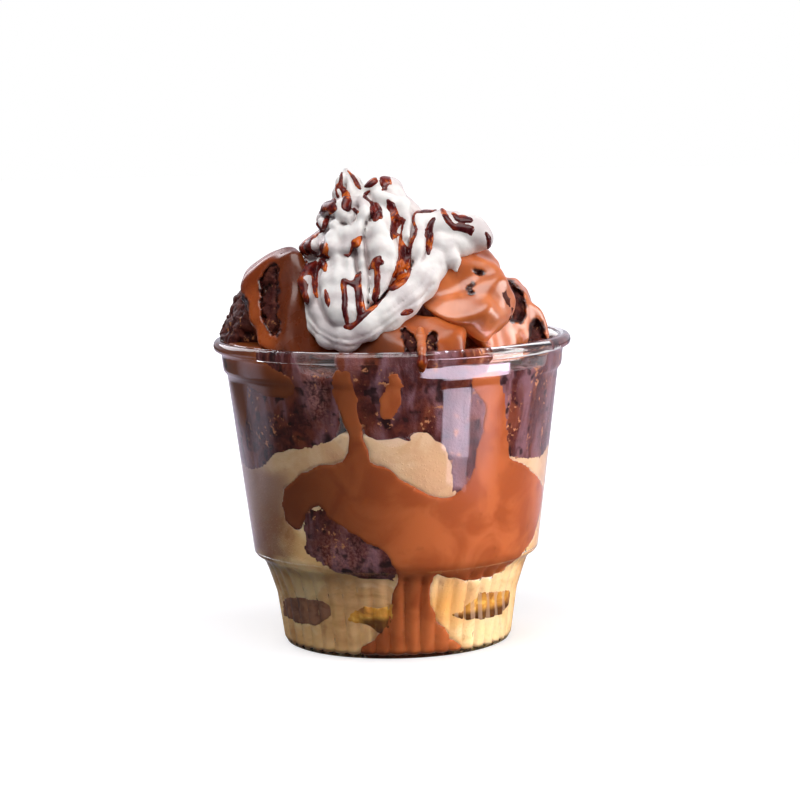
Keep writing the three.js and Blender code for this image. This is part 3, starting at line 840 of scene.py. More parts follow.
# Where each chunk is, its half sizes, its turn in degrees and its cragginess
COATED = {
    "brownie_top_left": ((-28, -15, 92.5), (9.5, 11, 17.5), (4, -17, 8), 0.5),
    "brownie_right": ((20.5, -17, 97), (10.5, 11, 12.5), (-6, -20, 8), 0.5),
    "brownie_front": ((7.5, -31, 82.5), (11.5, 9.5, 9.5), (5, 8, -10), 0.6),
    "brownie_far_right": ((30, -1, 86), (10, 12, 12.5), (4, -22, 6), 0.8),
}
BARE = {
    "brownie_left": ((-36, -1, 84.5), (10, 13, 13), (5, 27, 6), 1.1),
    "brownie_middle": ((-5, -4, 85.5), (11, 11, 10.5), (6, -5, 14), 1.0),
    "brownie_back": ((3, 21.5, 90), (13, 11, 12.5), (-10, 6, 22), 0.8),
    "brownie_back_left": ((-22.5, 20, 85), (10.5, 10.5, 11.5), (8, 10, 48), 1.0),
    "brownie_back_right": ((25.5, 22.5, 83), (9.5, 10, 10.5), (-6, -8, -42), 1.0),
}
INNER = {
    "inner_left": (around(-38, 31.5, 68), (12, 10, 12), (3, -6, -36), 0.9),
    "inner_middle": (around(11, 34, 66), (8, 9, 9), (0, 4, 10), 0.9),
    "inner_right": (around(57, 32, 66), (9, 10.5, 12), (0, 5, 57), 0.9),
    "inner_side": (around(103, 32, 66), (11, 10.5, 12), (4, -8, 100), 0.9),
    "inner_back": (around(152, 32, 65), (12, 10.5, 12), (0, 8, 148), 0.9),
    "inner_rear": (around(203, 32, 65), (11, 10.5, 12), (3, 5, 205), 0.9),
    "inner_far": (around(-104, 32, 66), (13, 10.5, 12), (-3, -7, -106), 0.9),
    "brownie_low": (around(-20, 30.5, 32), (12, 10, 8.5), (0, 17, -20), 0.9),
}
# How far the cake of a coated chunk lies under the coat, and how far the coat is sunk where it is bare
CAKE_UNDER_COAT = 1.1
BALD_DEPTH = 2.6
# How far the crumb of a bare chunk stays within its solid, for its relief
CRUMB_ROOM = 0.25


def block(x, y, z, chunk, seed):
    """Distance from a squared-off chunk, along the ray from its middle, with its low crags."""
    at, half, turn, crag = chunk
    tx, ty, tz = (math.radians(t) for t in turn)
    rotation = Matrix.Rotation(tx, 3, "X") @ Matrix.Rotation(ty, 3, "Y") @ Matrix.Rotation(tz, 3, "Z")
    offset = (x - at[0], y - at[1], z - at[2])
    local = [sum(rotation[row][column] * offset[row] for row in range(3)) for column in range(3)]
    length = np.sqrt(local[0] ** 2 + local[1] ** 2 + local[2] ** 2) + 1e-6
    fourth = sum((local[n] / half[n]) ** 4 for n in range(3)) ** 0.25 + 1e-6
    way = [local[n] / length * half[n] for n in range(3)]
    return length - length / fourth - crag * relief(way[0], way[1], way[2], seed, 11)


def chunk_box(chunk, more):
    at, half = chunk[0], chunk[1]
    reach = max(half) * 1.32 + more
    return [at[n] - reach for n in range(3)], [at[n] + reach for n in range(3)]


def crumbs(seed, depth):
    """Cake relief: billows, pits and grains."""
    def lumps(points, normals):
        big = noise(points, 4.2, seed)
        ridge = 1 - 2 * np.abs(noise(points, 2.3, seed + 1))
        small = noise(points, 0.9, seed + 2)
        pits = smoothstep(noise(points, 1.7, seed + 3), 0.2, 0.65)
        lump = 0.5 * big + 0.4 * ridge + 0.3 * small - 1.1 * pits
        return depth * lump, {"lump": lump}
    return lumps


def on_mark_plane(x, y, z):
    """Where a point is seen on the mark plane, from the front."""
    scale = (MARK_PLANE - CAMERA_PLACE[1]) / (y - CAMERA_PLACE[1])
    return CAMERA_PLACE[0] + (x - CAMERA_PLACE[0]) * scale, CAMERA_PLACE[2] + (z - CAMERA_PLACE[2]) * scale


def marked(x, y, z, strokes):
    """Distance, as seen from the front, from strokes given on the mark plane."""
    u, w = on_mark_plane(x, y, z)
    total = 1e3
    for stroke in strokes:
        for one, other in zip(stroke, stroke[1:]):
            total = np.minimum(total, segment_2d(u, w, one, other))
    return total


def hairlines(lines):
    """Strokes of no width along lines."""
    return [[(*point, 0) for point in line] for line in lines]


def segment_2d(u, w, one, other):
    du, dw = other[0] - one[0], other[1] - one[1]
    share = np.clip(((u - one[0]) * du + (w - one[1]) * dw) / (du * du + dw * dw + 1e-9), 0, 1)
    away = np.sqrt((u - one[0] - share * du) ** 2 + (w - one[1] - share * dw) ** 2)
    return away - (one[2] + share * (other[2] - one[2]))


def segment(x, y, z, one, other):
    """Distance from a tapered round stroke; each end is x, y, z, radius."""
    dx, dy, dz = (other[n] - one[n] for n in range(3))
    share = (x - one[0]) * dx + (y - one[1]) * dy + (z - one[2]) * dz
    share = np.clip(share / (dx * dx + dy * dy + dz * dz + 1e-9), 0, 1)
    off = (x - one[0] - share * dx) ** 2 + (y - one[1] - share * dy) ** 2
    away = np.sqrt(off + (z - one[2] - share * dz) ** 2)
    return away - (one[3] + share * (other[3] - one[3]))


def tube(x, y, z, ends, soft):
    """Distance from a chain of tapered strokes, softened at its bends."""
    chain = segment(x, y, z, *ends[:2])
    for one, other in zip(ends[1:], ends[2:]):
        chain = joined(chain, segment(x, y, z, one, other), soft)
    return chain


# Places where a coat leaves the cake bare, as seen from the front: x, z and radius on the mark plane
WINDOWS = {
    "brownie_top_left": (((-31, 105, 0.5), (-32.4, 101.5, 1.5), (-32, 97.5, 1.7),
                          (-32.5, 92.7, 1.4), (-31, 88.6, 0.8)),
                         ((-40.5, 96, 1.6), (-41.5, 91, 2.4), (-40.5, 84, 3))),
    "brownie_right": (((22.6, 103.4, -0.3), (24.2, 102.4, -0.1)),
                      ((21.8, 100, -0.4), (20.6, 98.4, -0.2), (21.8, 97.4, -0.4))),
    "brownie_front": (((3.4, 87.4, 0.3), (4.6, 86, 0.7), (5.2, 83.4, 1), (5.4, 80.6, 0.9)),
                      ((11, 86.2, 0.4), (10.2, 84.2, 0.8), (10.4, 81.8, 1), (11.8, 80.8, 0.5))),
    "brownie_far_right": (((31.2, 99, 0.9), (32.6, 95.5, 2.2), (33.6, 91.5, 1.6)),
                          ((38.6, 88.5, 0.9), (39, 82, 1.8))),
}


# Thick folds and runs of sauce on the coated chunks: x, y, z and radius
FLOWS = {
    "brownie_top_left": (
        ((-30, -24, 104, 3.2), (-27, -26, 98, 3), (-25, -28, 90, 3), (-24, -29.5, 84, 3.2)),
        ((-36.2, -19, 103, 2), (-37.2, -22, 98, 1.9), (-36.2, -24.5, 92.5, 2),
         (-33.8, -27, 87.2, 2.2), (-31, -28.5, 85, 2.2)),
        ((-29, -26, 87, 3.2), (-22, -30, 84, 3.6), (-14, -32, 82.5, 3.4), (-7, -35.5, 80.8, 3.2)),
    ),
    "brownie_right": (
        ((10.5, -26, 101, 3.6), (16, -27.5, 97.5, 4.6), (21.5, -28, 93.5, 4.8),
         (25.5, -26.5, 90.5, 4.2)),
        ((17, -23, 104.5, 3.6), (23, -23, 101, 3.6), (26.5, -22, 96, 3)),
        ((9, -29.5, 95.5, 2.4), (14, -31, 91.5, 2.8), (19, -30.5, 88, 3.2), (23, -29, 86.5, 3)),
    ),
    "brownie_front": (
        ((-0.5, -38, 87, 2.2), (-2.5, -39.5, 84, 2.4), (-3.5, -40.5, 80, 2.4)),
        ((5, -33, 89.6, 2.2), (12, -33, 89.8, 2.6), (16.5, -31, 87.6, 2.8)),
        ((13.5, -36, 87.5, 2.4), (15.5, -37, 83, 2.4), (16, -38, 78, 2.2)),
        ((7.3, -39.8, 87.4, 1.1), (7.6, -40.8, 84.5, 1), (7.7, -41.6, 81, 1.1)),
        ((1, -34, 84.5, 3), (-4.5, -34, 83.4, 3), (-9, -33.5, 82.6, 2.6)),
    ),
    "brownie_far_right": (
        ((24, -12, 93, 3.2), (30, -13, 90, 3.4), (36, -11, 88, 3)),
        ((22, -16, 88, 3.4), (27, -17, 84.5, 3.6), (33, -16.5, 83.5, 3.2)),
        ((30, -13, 97, 2.2), (35, -11, 93, 2.4), (38.5, -8, 89, 2.4), (40, -6, 84, 2.2)),
    ),
}


# Slanting shoulders of chunks, as seen from the front: two points of x and z on each
SLANTS = {"brownie_top_left": ((-39.2, 103.8), (-28.5, 112.3))}


def slant(x, z, line):
    """Distance above a slanting line."""
    (x0, z0), (x1, z1) = line
    length = math.hypot(x1 - x0, z1 - z0)
    return ((z - z0) * (x1 - x0) - (x - x0) * (z1 - z0)) / length


# Flat faces and steps cut into the coated chunks: each is one plane or two, given by a point and the way
# it faces, and what lies outside all of its planes is cut away
FACETS = {
    "brownie_right": (
        (((19.8, -31, 94.3), (-0.08, -0.68, 0.73)), ((22, -24.4, 98.3), (0.2, -0.95, 0.15))),
        (((18, -32.6, 89.5), (0, -0.85, -0.5)),),
        (((22, -20, 107), (0.3, -0.4, 0.86)),),
        (((19.5, -27, 87.2), (-0.5, -0.1, -0.86)),),
    ),
    "brownie_front": (
        (((7, -35.5, 89), (0.05, -0.6, 0.8)), ((7, -29.5, 91), (0, -0.95, 0.3))),
        (((-1, -38.8, 85), (-0.5, -0.85, 0.15)),),
        (((13, -38, 86), (0.42, -0.88, 0.2)),),
    ),
    "brownie_top_left": ((((-33.5, -22.5, 98), (-0.5, -0.8, 0.35)),), (((-25, -28.5, 93),
                           (0.3, -0.9, 0.3)),)),
    "brownie_far_right": (
        (((30, -16, 90), (0.2, -0.66, 0.72)), ((30, -11, 92), (0.2, -0.95, 0.2))),
        (((36, -12, 86), (0.6, -0.78, 0.15)),),
    ),
}


def faceted(body, x, y, z, name, depth):
    """The body cut by its flat faces, a depth further in."""
    for planes in FACETS.get(name, ()):
        outside = np.float32(1e3)
        for point, way in planes:
            length = math.sqrt(sum(w * w for w in way))
            above = sum((value - at) * w for value, at, w in zip((x, y, z), point, way)) / length
            outside = joined(outside, above, 1.2)
        body = shared(body, outside + depth, 1.4)
    return body


def coat_form(name, chunk, seed):
    def form(x, y, z):
        bent_x = x + 1.2 * relief(x, y, z, seed + 11, 34)
        bent_y = y + 1.2 * relief(x, y, z, seed + 12, 34)
        bent_z = z + relief(x, y, z, seed + 13, 30)
        body = block(bent_x, bent_y, bent_z, chunk, len(name))
        for flow in FLOWS[name]:
            body = joined(body, tube(x, y, z, flow, 3.0), 2.8)
        if name in SLANTS:
            body = shared(body, slant(x, z, SLANTS[name]), 5.0)
        body = faceted(body, x, y, z, name, 0)
        folds = 0.5 * relief(x, y * 1.4, z * 0.5, seed, 18)
        window = marked(x, y, z, WINDOWS[name])
        middle = chunk[0][1]
        behind = smoothstep(y, middle - 1, middle + 3)
        window = window + behind * 30 + 0.4 * relief(x, y, z, seed + 3, 4)
        window = window + 0.3 * relief(x, y, z, seed + 4, 2.1)
        bald = BALD_DEPTH * (1 - smoothstep(window, -0.4, 0.9))
        patchy = smoothstep(relief(x, y, z * 0.55, seed + 7, 24), 0.28, 0.5)
        patchy = patchy * smoothstep(y, middle + 2, middle + 6)
        thick = folds - np.maximum(bald, BALD_DEPTH * patchy)
        return np.maximum(body - thick, in_cup(x, y, z, SAUCE_BITE))
    return form


# Faces of brownie against the wall, by angle from the front in degrees and height
FACES = {
    "inner_left": ((-86, 83), (-88, 60), (-84, 51), (-70, 49.6), (-58, 51), (-48, 55.3),
                   (-39, 57.5), (-30, 58.4),
                   (-24, 59.4), (-19, 62), (-18, 70), (-18, 78), (-31, 78.5), (-33, 83)),
    "inner_middle": ((-19, 83), (-16, 73), (-13, 67), (-10, 62), (-6, 60.4), (0, 60.6), (5, 63),
                     (12, 62.4), (17, 60),
                     (19.5, 54), (21, 46), (31, 45), (34, 56), (33, 66), (33, 77), (35, 83)),
    "inner_right": ((36, 78), (38, 70), (41, 60), (46, 53.6), (58, 52.2), (71, 51.4), (84, 55),
                    (86, 70), (84, 83),
                    (64, 83), (62, 78)),
    "inner_side": ((86, 83), (85, 66), (88, 55), (96, 53), (106, 54), (117, 52.5), (123, 57),
                   (122, 68), (123, 80),
                   (112, 81), (100, 79.5)),
    "inner_back": ((128, 80), (127, 66), (130, 55), (140, 53.5), (152, 55), (163, 53.5), (169, 58),
                   (168, 68), (166, 76),
                   (150, 80)),
    "inner_rear": ((194, 76), (189, 64), (192, 55.5), (203, 54), (214, 55.5), (219, 62), (220, 74),
                   (216, 80),
                   (200, 77)),
    "inner_far": ((-123, 80), (-124, 66), (-121, 55), (-110, 53), (-98, 54.5), (-90, 53), (-88, 62),
                  (-87, 80),
                  (-104, 81)),
    "brownie_low": ((-36.5, 41.3), (-38, 36), (-37, 31.4), (-30, 26.6), (-22, 24.2), (-10, 23.4),
                    (-1, 22.4), (1, 28), (-4, 31),
                    (-14, 34.5), (-21, 40.4), (-29, 42.6)),
}
# How deep the faces are behind the wall
FACE_DEPTH = 7
# How far the faces reach beyond their chunks
FACE_REACH = 12
face_marks = {name: wall_marks([outline], 1, 60 + n) for n, (name, outline) in enumerate(FACES.items())}


def cake_form(name, chunk, shrink):
    def form(x, y, z):
        body = block(x, y, z, chunk, len(name)) + shrink
        if name in SLANTS:
            body = shared(body, slant(x, z, SLANTS[name]) + 1.2, 4.0)
        body = faceted(body, x, y, z, name, CAKE_UNDER_COAT)
        if name in FACES:
            body = joined(body, behind_outlines(face_marks[name], x, y, z, FACE_DEPTH, 2.0), 1.5)
        return np.maximum(body, in_cup(x, y, z, BROWNIE_BITE))
    return form


CAPPED = ("brownie_back", "brownie_back_left", "brownie_back_right")


def cap_form(name, chunk, seed):
    """Sauce poured over a bare chunk: it covers the top and runs down in places."""
    def form(x, y, z):
        body = block(x, y, z, chunk, len(name)) + CRUMB_ROOM
        angle = np.arctan2(y - chunk[0][1], x - chunk[0][0])
        runs = np.cos(angle * 5 + seed) * 3.2 + np.cos(angle * 8 + 2.4 * seed) * 2.4
        runs = runs + 1.6 * relief(x, y, z, seed, 17)
        hem = chunk[0][2] + 4.5 - z + runs
        thick = 0.95 * np.sqrt(np.clip(-hem / 1.6, 0, 1)) - np.maximum(hem, 0)
        thick = thick + 0.25 * relief(x, y, z * 0.6, seed + 1, 12)
        return np.maximum(np.maximum(body - thick, -body - 1.6), in_cup(x, y, z, SAUCE_BITE))
    return form


def bare_marks(name, chunk):
    """Marks how bare the coat is, with rough crumb there."""
    def lumps(points, normals):
        x, y, z = (points[:, n] for n in range(3))
        window = marked(x, y, z, WINDOWS[name]) + 0.5 * noise(points, 1.3, 91)
        bare = (1 - smoothstep(window, 0.5, 1.4)) * (1 - smoothstep(y, chunk[0][1] - 1, chunk[0][1] + 3))
        return bare * 0.5 * noise(points, 0.9, 92), {"bare": bare}
    return lumps


def chunks():
    for number, (name, chunk) in enumerate(COATED.items()):
        formed(name + "_cake", [name], cake_form(name, chunk, CAKE_UNDER_COAT),
               chunk_box(chunk, 1.5), CAKE_STEP, CRUMB, crumbs(100 + 7 * number, 0.85))
        formed(name + "_coat", [name], coat_form(name, chunk, 41 + number),
               chunk_box(chunk, 5), COAT_STEP, COATS.get(name, COAT), bare_marks(name, chunk))
    for number, (name, chunk) in enumerate(BARE.items()):
        formed(name + "_crumb", [name], cake_form(name, chunk, CRUMB_ROOM),
               chunk_box(chunk, 2.5), CRUMB_STEP, CRUMB, crumbs(200 + 7 * number, 1))
        if name in CAPPED:
            formed(name + "_sauce", [name], cap_form(name, chunk, 3 + number),
                   chunk_box(chunk, 3), CAP_STEP, COAT)
    for number, (name, chunk) in enumerate(INNER.items()):
        formed(name + "_crumb", [name], cake_form(name, chunk, 0),
               chunk_box(chunk, FACE_REACH), INNER_STEP, WALL_CRUMB, inner_crumbs(300 + 7 * number))


def inner_crumbs(seed):
    """Cake relief that leaves the face against the wall alone."""
    relief_of = crumbs(seed, 0.8)

    def lumps(points, normals):
        out, marks = relief_of(points, normals)
        angle = np.degrees(np.arctan2(points[:, 0], -points[:, 1]))
        marks["pale"] = (np.exp(-((angle + 27) / 4) ** 2 - ((points[:, 2] - 73) / 6) ** 2)
                         + 0.5 * np.exp(-((angle + 22) / 16) ** 2 - ((points[:, 2] - 27) / 8) ** 2))
        free = wall_radius(points[:, 2]) - np.hypot(points[:, 0], points[:, 1])
        return out * smoothstep(free, 0.1, 1.2), marks
    return lumps


# Whipped cream: the mound's levels are height, left, right, middle's y, depth
MOUND = np.array((
    (83.4, -13, -10, -33, 2), (85.5, -17.5, -6.5, -31.5, 6.5), (89.5, -22, -1, -27, 10.5),
    (93.5, -25, 6.5, -23, 13.5),
    (97.5, -26.8, 10.6, -18.5, 16), (101, -26.2, 12.2, -15.5, 17.5), (105, -24.3, 13.6, -13.5, 18),
    (110, -23.6, 13.4, -13, 17),
    (114, -20, 12.4, -12.5, 15), (118.5, -19.2, 9.6, -12.5, 13), (122.5, -15.8, 5.2, -12.5, 9.5),
    (125.4, -12, 0.5, -12.5, 5),
))
# Strokes of cream seen from the front: x, z and radius on the mark plane
FLUTES_OF_CREAM = (
    ((-16.7, 104.9, 1.6), (-16.8, 101.1, 1.9), (-16.4, 96.9, 2), (-15.7, 93.1, 1.7), (-15, 90.7, 1.3)),
    ((-13.8, 106.4, 1.6), (-13.6, 101.6, 2), (-13.5, 96.8, 2), (-13.3, 93.1, 1.7), (-12.8, 90.4, 1.2)),
    ((-10.3, 106.3, 1.5), (-10.2, 101.5, 1.8), (-10.3, 96.7, 1.8), (-10.4, 93, 1.6),
     (-10.4, 90.6, 1.1)),
    ((-7.2, 105.7, 1.3), (-6.7, 101.5, 1.6), (-6.8, 97.2, 1.6), (-8, 93.2, 1.2)),
    ((-3.2, 118.4, 1.7), (-2.8, 114.1, 2.1), (-2.9, 109.4, 2.2), (-3, 104.6, 2), (-3.6, 100.3, 1.7),
     (-4.7, 96.4, 1.2)),
    ((-0.1, 112.5, 1.2), (0.3, 108.8, 1.5), (-0, 104.5, 1.4), (-1.5, 100.3, 1.1), (-3.1, 97.1, 0.7)),
    ((-13.8, 117, 1.9), (-14.7, 113.3, 2.3), (-15, 109.6, 2), (-15.4, 107.8, 1.3)),
    ((-10.4, 117.5, 1.7), (-10.4, 113.8, 2), (-11.1, 110.1, 1.5)),
    ((-6.8, 122.9, 1.6), (-6.9, 119, 1.7), (-7.8, 114.8, 1.7), (-7.6, 110, 1.2), (-7.4, 106.3, 1)),
    ((-11.6, 121.5, 2.1), (-12.7, 119.4, 1.9)),
    ((-21.1, 110.8, 1.7), (-19.5, 110.8, 1.9)),
    ((-17.8, 117.6, 1.5), (-17.5, 115.8, 1.1)),
    ((-16.1, 120.8, 1.9), (-14.5, 120.2, 2)),
    ((-21.5, 105, 1.5), (-22.1, 101.3, 1.7), (-21.7, 97.3, 1.6)),
    ((-5.4, 125.3, 1.5), (-3, 126.3, 1.9), (-0.1, 126, 2), (2.2, 123.8, 1.9), (3.7, 120.9, 1.7),
     (4.7, 117.1, 1.3), (4.9, 112.9, 1.1)),
    ((-2.8, 123.4, 1.9), (-0.2, 122.5, 1.9)),
    ((8.2, 116.5, 1.7), (8.1, 112.8, 1.8), (7.5, 109.1, 1.9), (6.9, 105.4, 1.7)),
    ((13.7, 118, 1.9), (13.7, 113.8, 2), (12.8, 109.6, 2), (10.6, 105.4, 1.9)),
)
# Sharp creases between the flutes, as seen from the front: x, z and radius on the mark plane
CREASES = (
    ((-23.8, 107.4), (-21.7, 107.1), (-19.1, 107.6), (-16.2, 107.5)),
    ((-19.1, 118.7), (-16.7, 118.6), (-14.6, 118.3)),
    ((-18.9, 114.7), (-17.3, 114.2), (-15.4, 115.2)),
    ((-18.8, 106.5), (-19.7, 103.9), (-20.2, 100.4), (-19.9, 96.9), (-18.6, 93.7),
     (-17.1, 90.5), (-15, 88.8), (-11.3, 88.5), (-8.3, 90.6), (-5.3, 93.4),
     (-2.6, 96.1), (0.1, 98.9), (2.5, 100.5), (5.2, 102.8), (6.1, 106)),
    ((-14.6, 118.1), (-12.8, 116.7), (-10.4, 116.1), (-8.8, 118), (-8.2, 120.6)),
    ((-6.1, 116.8), (-6.8, 113.1), (-6.3, 108.9), (-5.6, 104.6), (-5.4, 100.4),
     (-6.1, 95.6)),
    ((2.1, 116.7), (1.5, 113), (2.5, 110.3), (3.2, 107.1), (2.1, 103.4),
     (0.1, 99.7)),
    ((-9.2, 109.5), (-9, 106.3), (-8.8, 103.1)),
    ((-5.4, 124.2), (-4.2, 122.1), (-3.4, 120), (-5.1, 117.4)),
    ((6.3, 118.7), (6.5, 115.5), (5.7, 111.8), (4.8, 108.1)),
    ((10.8, 118.6), (11, 114.4), (10.4, 110.1), (9, 105.9), (6.6, 102.8)),
    ((-22.6, 114.5), (-20.2, 114.2), (-18.7, 112.9), (-18.5, 110.2), (-19.1, 108.1)),
)
# Fine grooves along the ribbon
GROOVES = (
    ((-23.6, 97), (-22.1, 92.5), (-19.3, 88.4), (-15.3, 86.2), (-11.1, 85.4), (-6.5, 86.8),
     (-2, 89.6), (2.6, 93), (7.7, 96.1), (11.3, 100)),
    ((-25.2, 96.5), (-23.4, 91.7), (-20.1, 87.6), (-15.6, 84.6), (-11.1, 83.7), (-6.8, 84.7),
     (-3.1, 87), (1.2, 90.1)),
    ((-1.4, 92.3), (3.5, 95.9), (7.8, 99.6), (11.1, 103.8)),
)
# How deep and wide the grooves and the creases are
GROOVE_DEPTH = 0.5
GROOVE_WIDTH = 0.45
CREASE_DEPTH = 1.2
CREASE_WIDTH = 0.9
# Strokes that stand free of the mound: x, y, z and radius
FREE_CREAM = (
    ((2, -14, 113.5, 4.4), (10, -16, 114, 4.7), (17, -17, 113.8, 4.8), (22, -18, 112.8, 4.6),
     (24.8, -18.5, 111.4, 3)),
    ((13.5, -21, 110, 3.6), (18.5, -20, 110, 3.2), (22.5, -18.5, 110.2, 2.6)),
    ((15.6, -22.5, 108.6, 2.4), (16.9, -24.5, 106, 1.6), (17.4, -25.5, 103.4, 0.5)),
    ((-3.2, -12, 124.4, 3.4), (0.4, -11, 124.6, 3.5)),
)
# The flat ribbon that hangs across the front, and how deep it is for its height
RIBBON = (
    (13.5, -20, 110.5, 2.6), (11.8, -24, 105, 3.4), (8, -28.5, 100.6, 4), (3.4, -32, 96.2, 3.9),
    (-1.2, -34.6, 92.4, 3.6), (-6.5, -36, 89.8, 3.4), (-11.8, -35.6, 87.2, 3.3),
    (-16.4, -32.5, 87.6, 3),
    (-20.2, -27, 90.6, 2.6), (-23.2, -22, 94.2, 2.2), (-24.6, -18, 98, 1.8),
)
RIBBON_DEPTH = 0.66
# How much the mound's own field is flattened, for its slanting sides
MOUND_SLOPE = 0.86
TIP_STROKES = (
    ((-12.6, -14, 120.6, 2), (-13.3, -14.6, 124, 1.5), (-12.7, -14, 127.4, 1),
     (-11.5, -12.8, 130.2, 0.4)),
    ((-8.4, -14, 121, 2), (-7.9, -14.2, 124, 1.7), (-9, -13.6, 127.2, 1.2), (-11.3, -12.8, 130.2, 0.4)),
    ((-10, -16, 120.8, 1.2), (-9.9, -16.6, 124.4, 0.9), (-10.8, -14.6, 128.2, 0.6)),
    ((-10.4, -10, 121, 4), (-10.5, -10.8, 124.6, 2.8), (-11, -12.2, 128.6, 1)),
)
CREAM_BOX = ((-30, -43, 81), (31, 8, 133))


def mound_form(x, y, z):
    levels = [np.interp(z, MOUND[:, 0], MOUND[:, n]).astype(np.float32) for n in range(1, 5)]
    left, right, middle_y, deep = levels
    share = np.interp(z, MOUND[:, 0], np.linspace(0, 1, len(MOUND))).astype(np.float32)
    middle, wide = (left + right) / 2, (right - left) / 2
    angle = np.arctan2((x - middle) / wide, -(y - middle_y) / deep)
    out = np.sqrt(((x - middle) / wide) ** 2 + ((y - middle_y) / deep) ** 2) + 1e-6
    reach = np.sqrt((wide * np.sin(angle)) ** 2 + (deep * np.cos(angle)) ** 2)
    fade = np.minimum(1, wide / 12)
    warp = 0.25 * relief(x, y, z, 17, 30)
    turn = angle + math.radians(-8) + np.radians(24) * (share - 0.5) + warp * 0.5
    lobe = np.abs(np.cos(turn * 13 / 2)) - 0.8
    steps = np.abs(np.cos(math.pi * (z / 7.5 - angle / (2 * math.pi)) + warp)) - 0.7
    behind = smoothstep(np.abs(angle), 1.0, 1.6)
    relief_out = fade * (behind * (2.4 * lobe + 1.6 * steps) - (1 - behind) * 1.3)
    return ((out - 1) * reach - relief_out) * MOUND_SLOPE


def mound_front(x, z):
    """Where the mound's front face is, for one x and height."""
    left, right, middle_y, deep = (float(np.interp(z, MOUND[:, 0], MOUND[:, n])) for n in range(1, 5))
    aside = min(abs((x - (left + right) / 2) / ((right - left) / 2)), 0.94)
    return middle_y - deep * math.sqrt(1 - aside * aside)


def seen_at(x, z, y):
    """The point at depth y that is seen from the front at a place of the mark plane."""
    scale = (y - CAMERA_PLACE[1]) / (MARK_PLANE - CAMERA_PLACE[1])
    seen_x = CAMERA_PLACE[0] + (x - CAMERA_PLACE[0]) * scale
    return (seen_x, y, CAMERA_PLACE[2] + (z - CAMERA_PLACE[2]) * scale)


def cream_form(x, y, z):
    body = mound_form(x, y, z)
    body = np.maximum(body, np.maximum(83 - z, z - 126))
    for stroke in FLUTES_OF_CREAM:
        ends = []
        for mark_x, mark_z, radius in stroke:
            ends.append((*seen_at(mark_x, mark_z, mound_front(mark_x, mark_z) + 0.45 * radius), radius))
        body = joined(body, tube(x, y, z, ends, 2.4), 1.9)
    front = 1 - smoothstep(y, -15, -10)
    crease = marked(x, y, z, hairlines(CREASES))
    body = body + front * CREASE_DEPTH * np.exp(-np.maximum(crease, 0) / CREASE_WIDTH)
    flat_ends = [(at_x, at_y / RIBBON_DEPTH, at_z, 1.08 * radius) for at_x, at_y, at_z, radius in RIBBON]
    body = joined(body, tube(x, y / RIBBON_DEPTH, z, flat_ends, 1.8) * 0.85, 0.9)
    for stroke in FREE_CREAM + TIP_STROKES:
        body = joined(body, tube(x, y, z, stroke, 1.8), 0.9)
    groove = marked(x, y, z, hairlines(GROOVES))
    return body + front * GROOVE_DEPTH * np.exp(-np.maximum(groove, 0) / GROOVE_WIDTH)


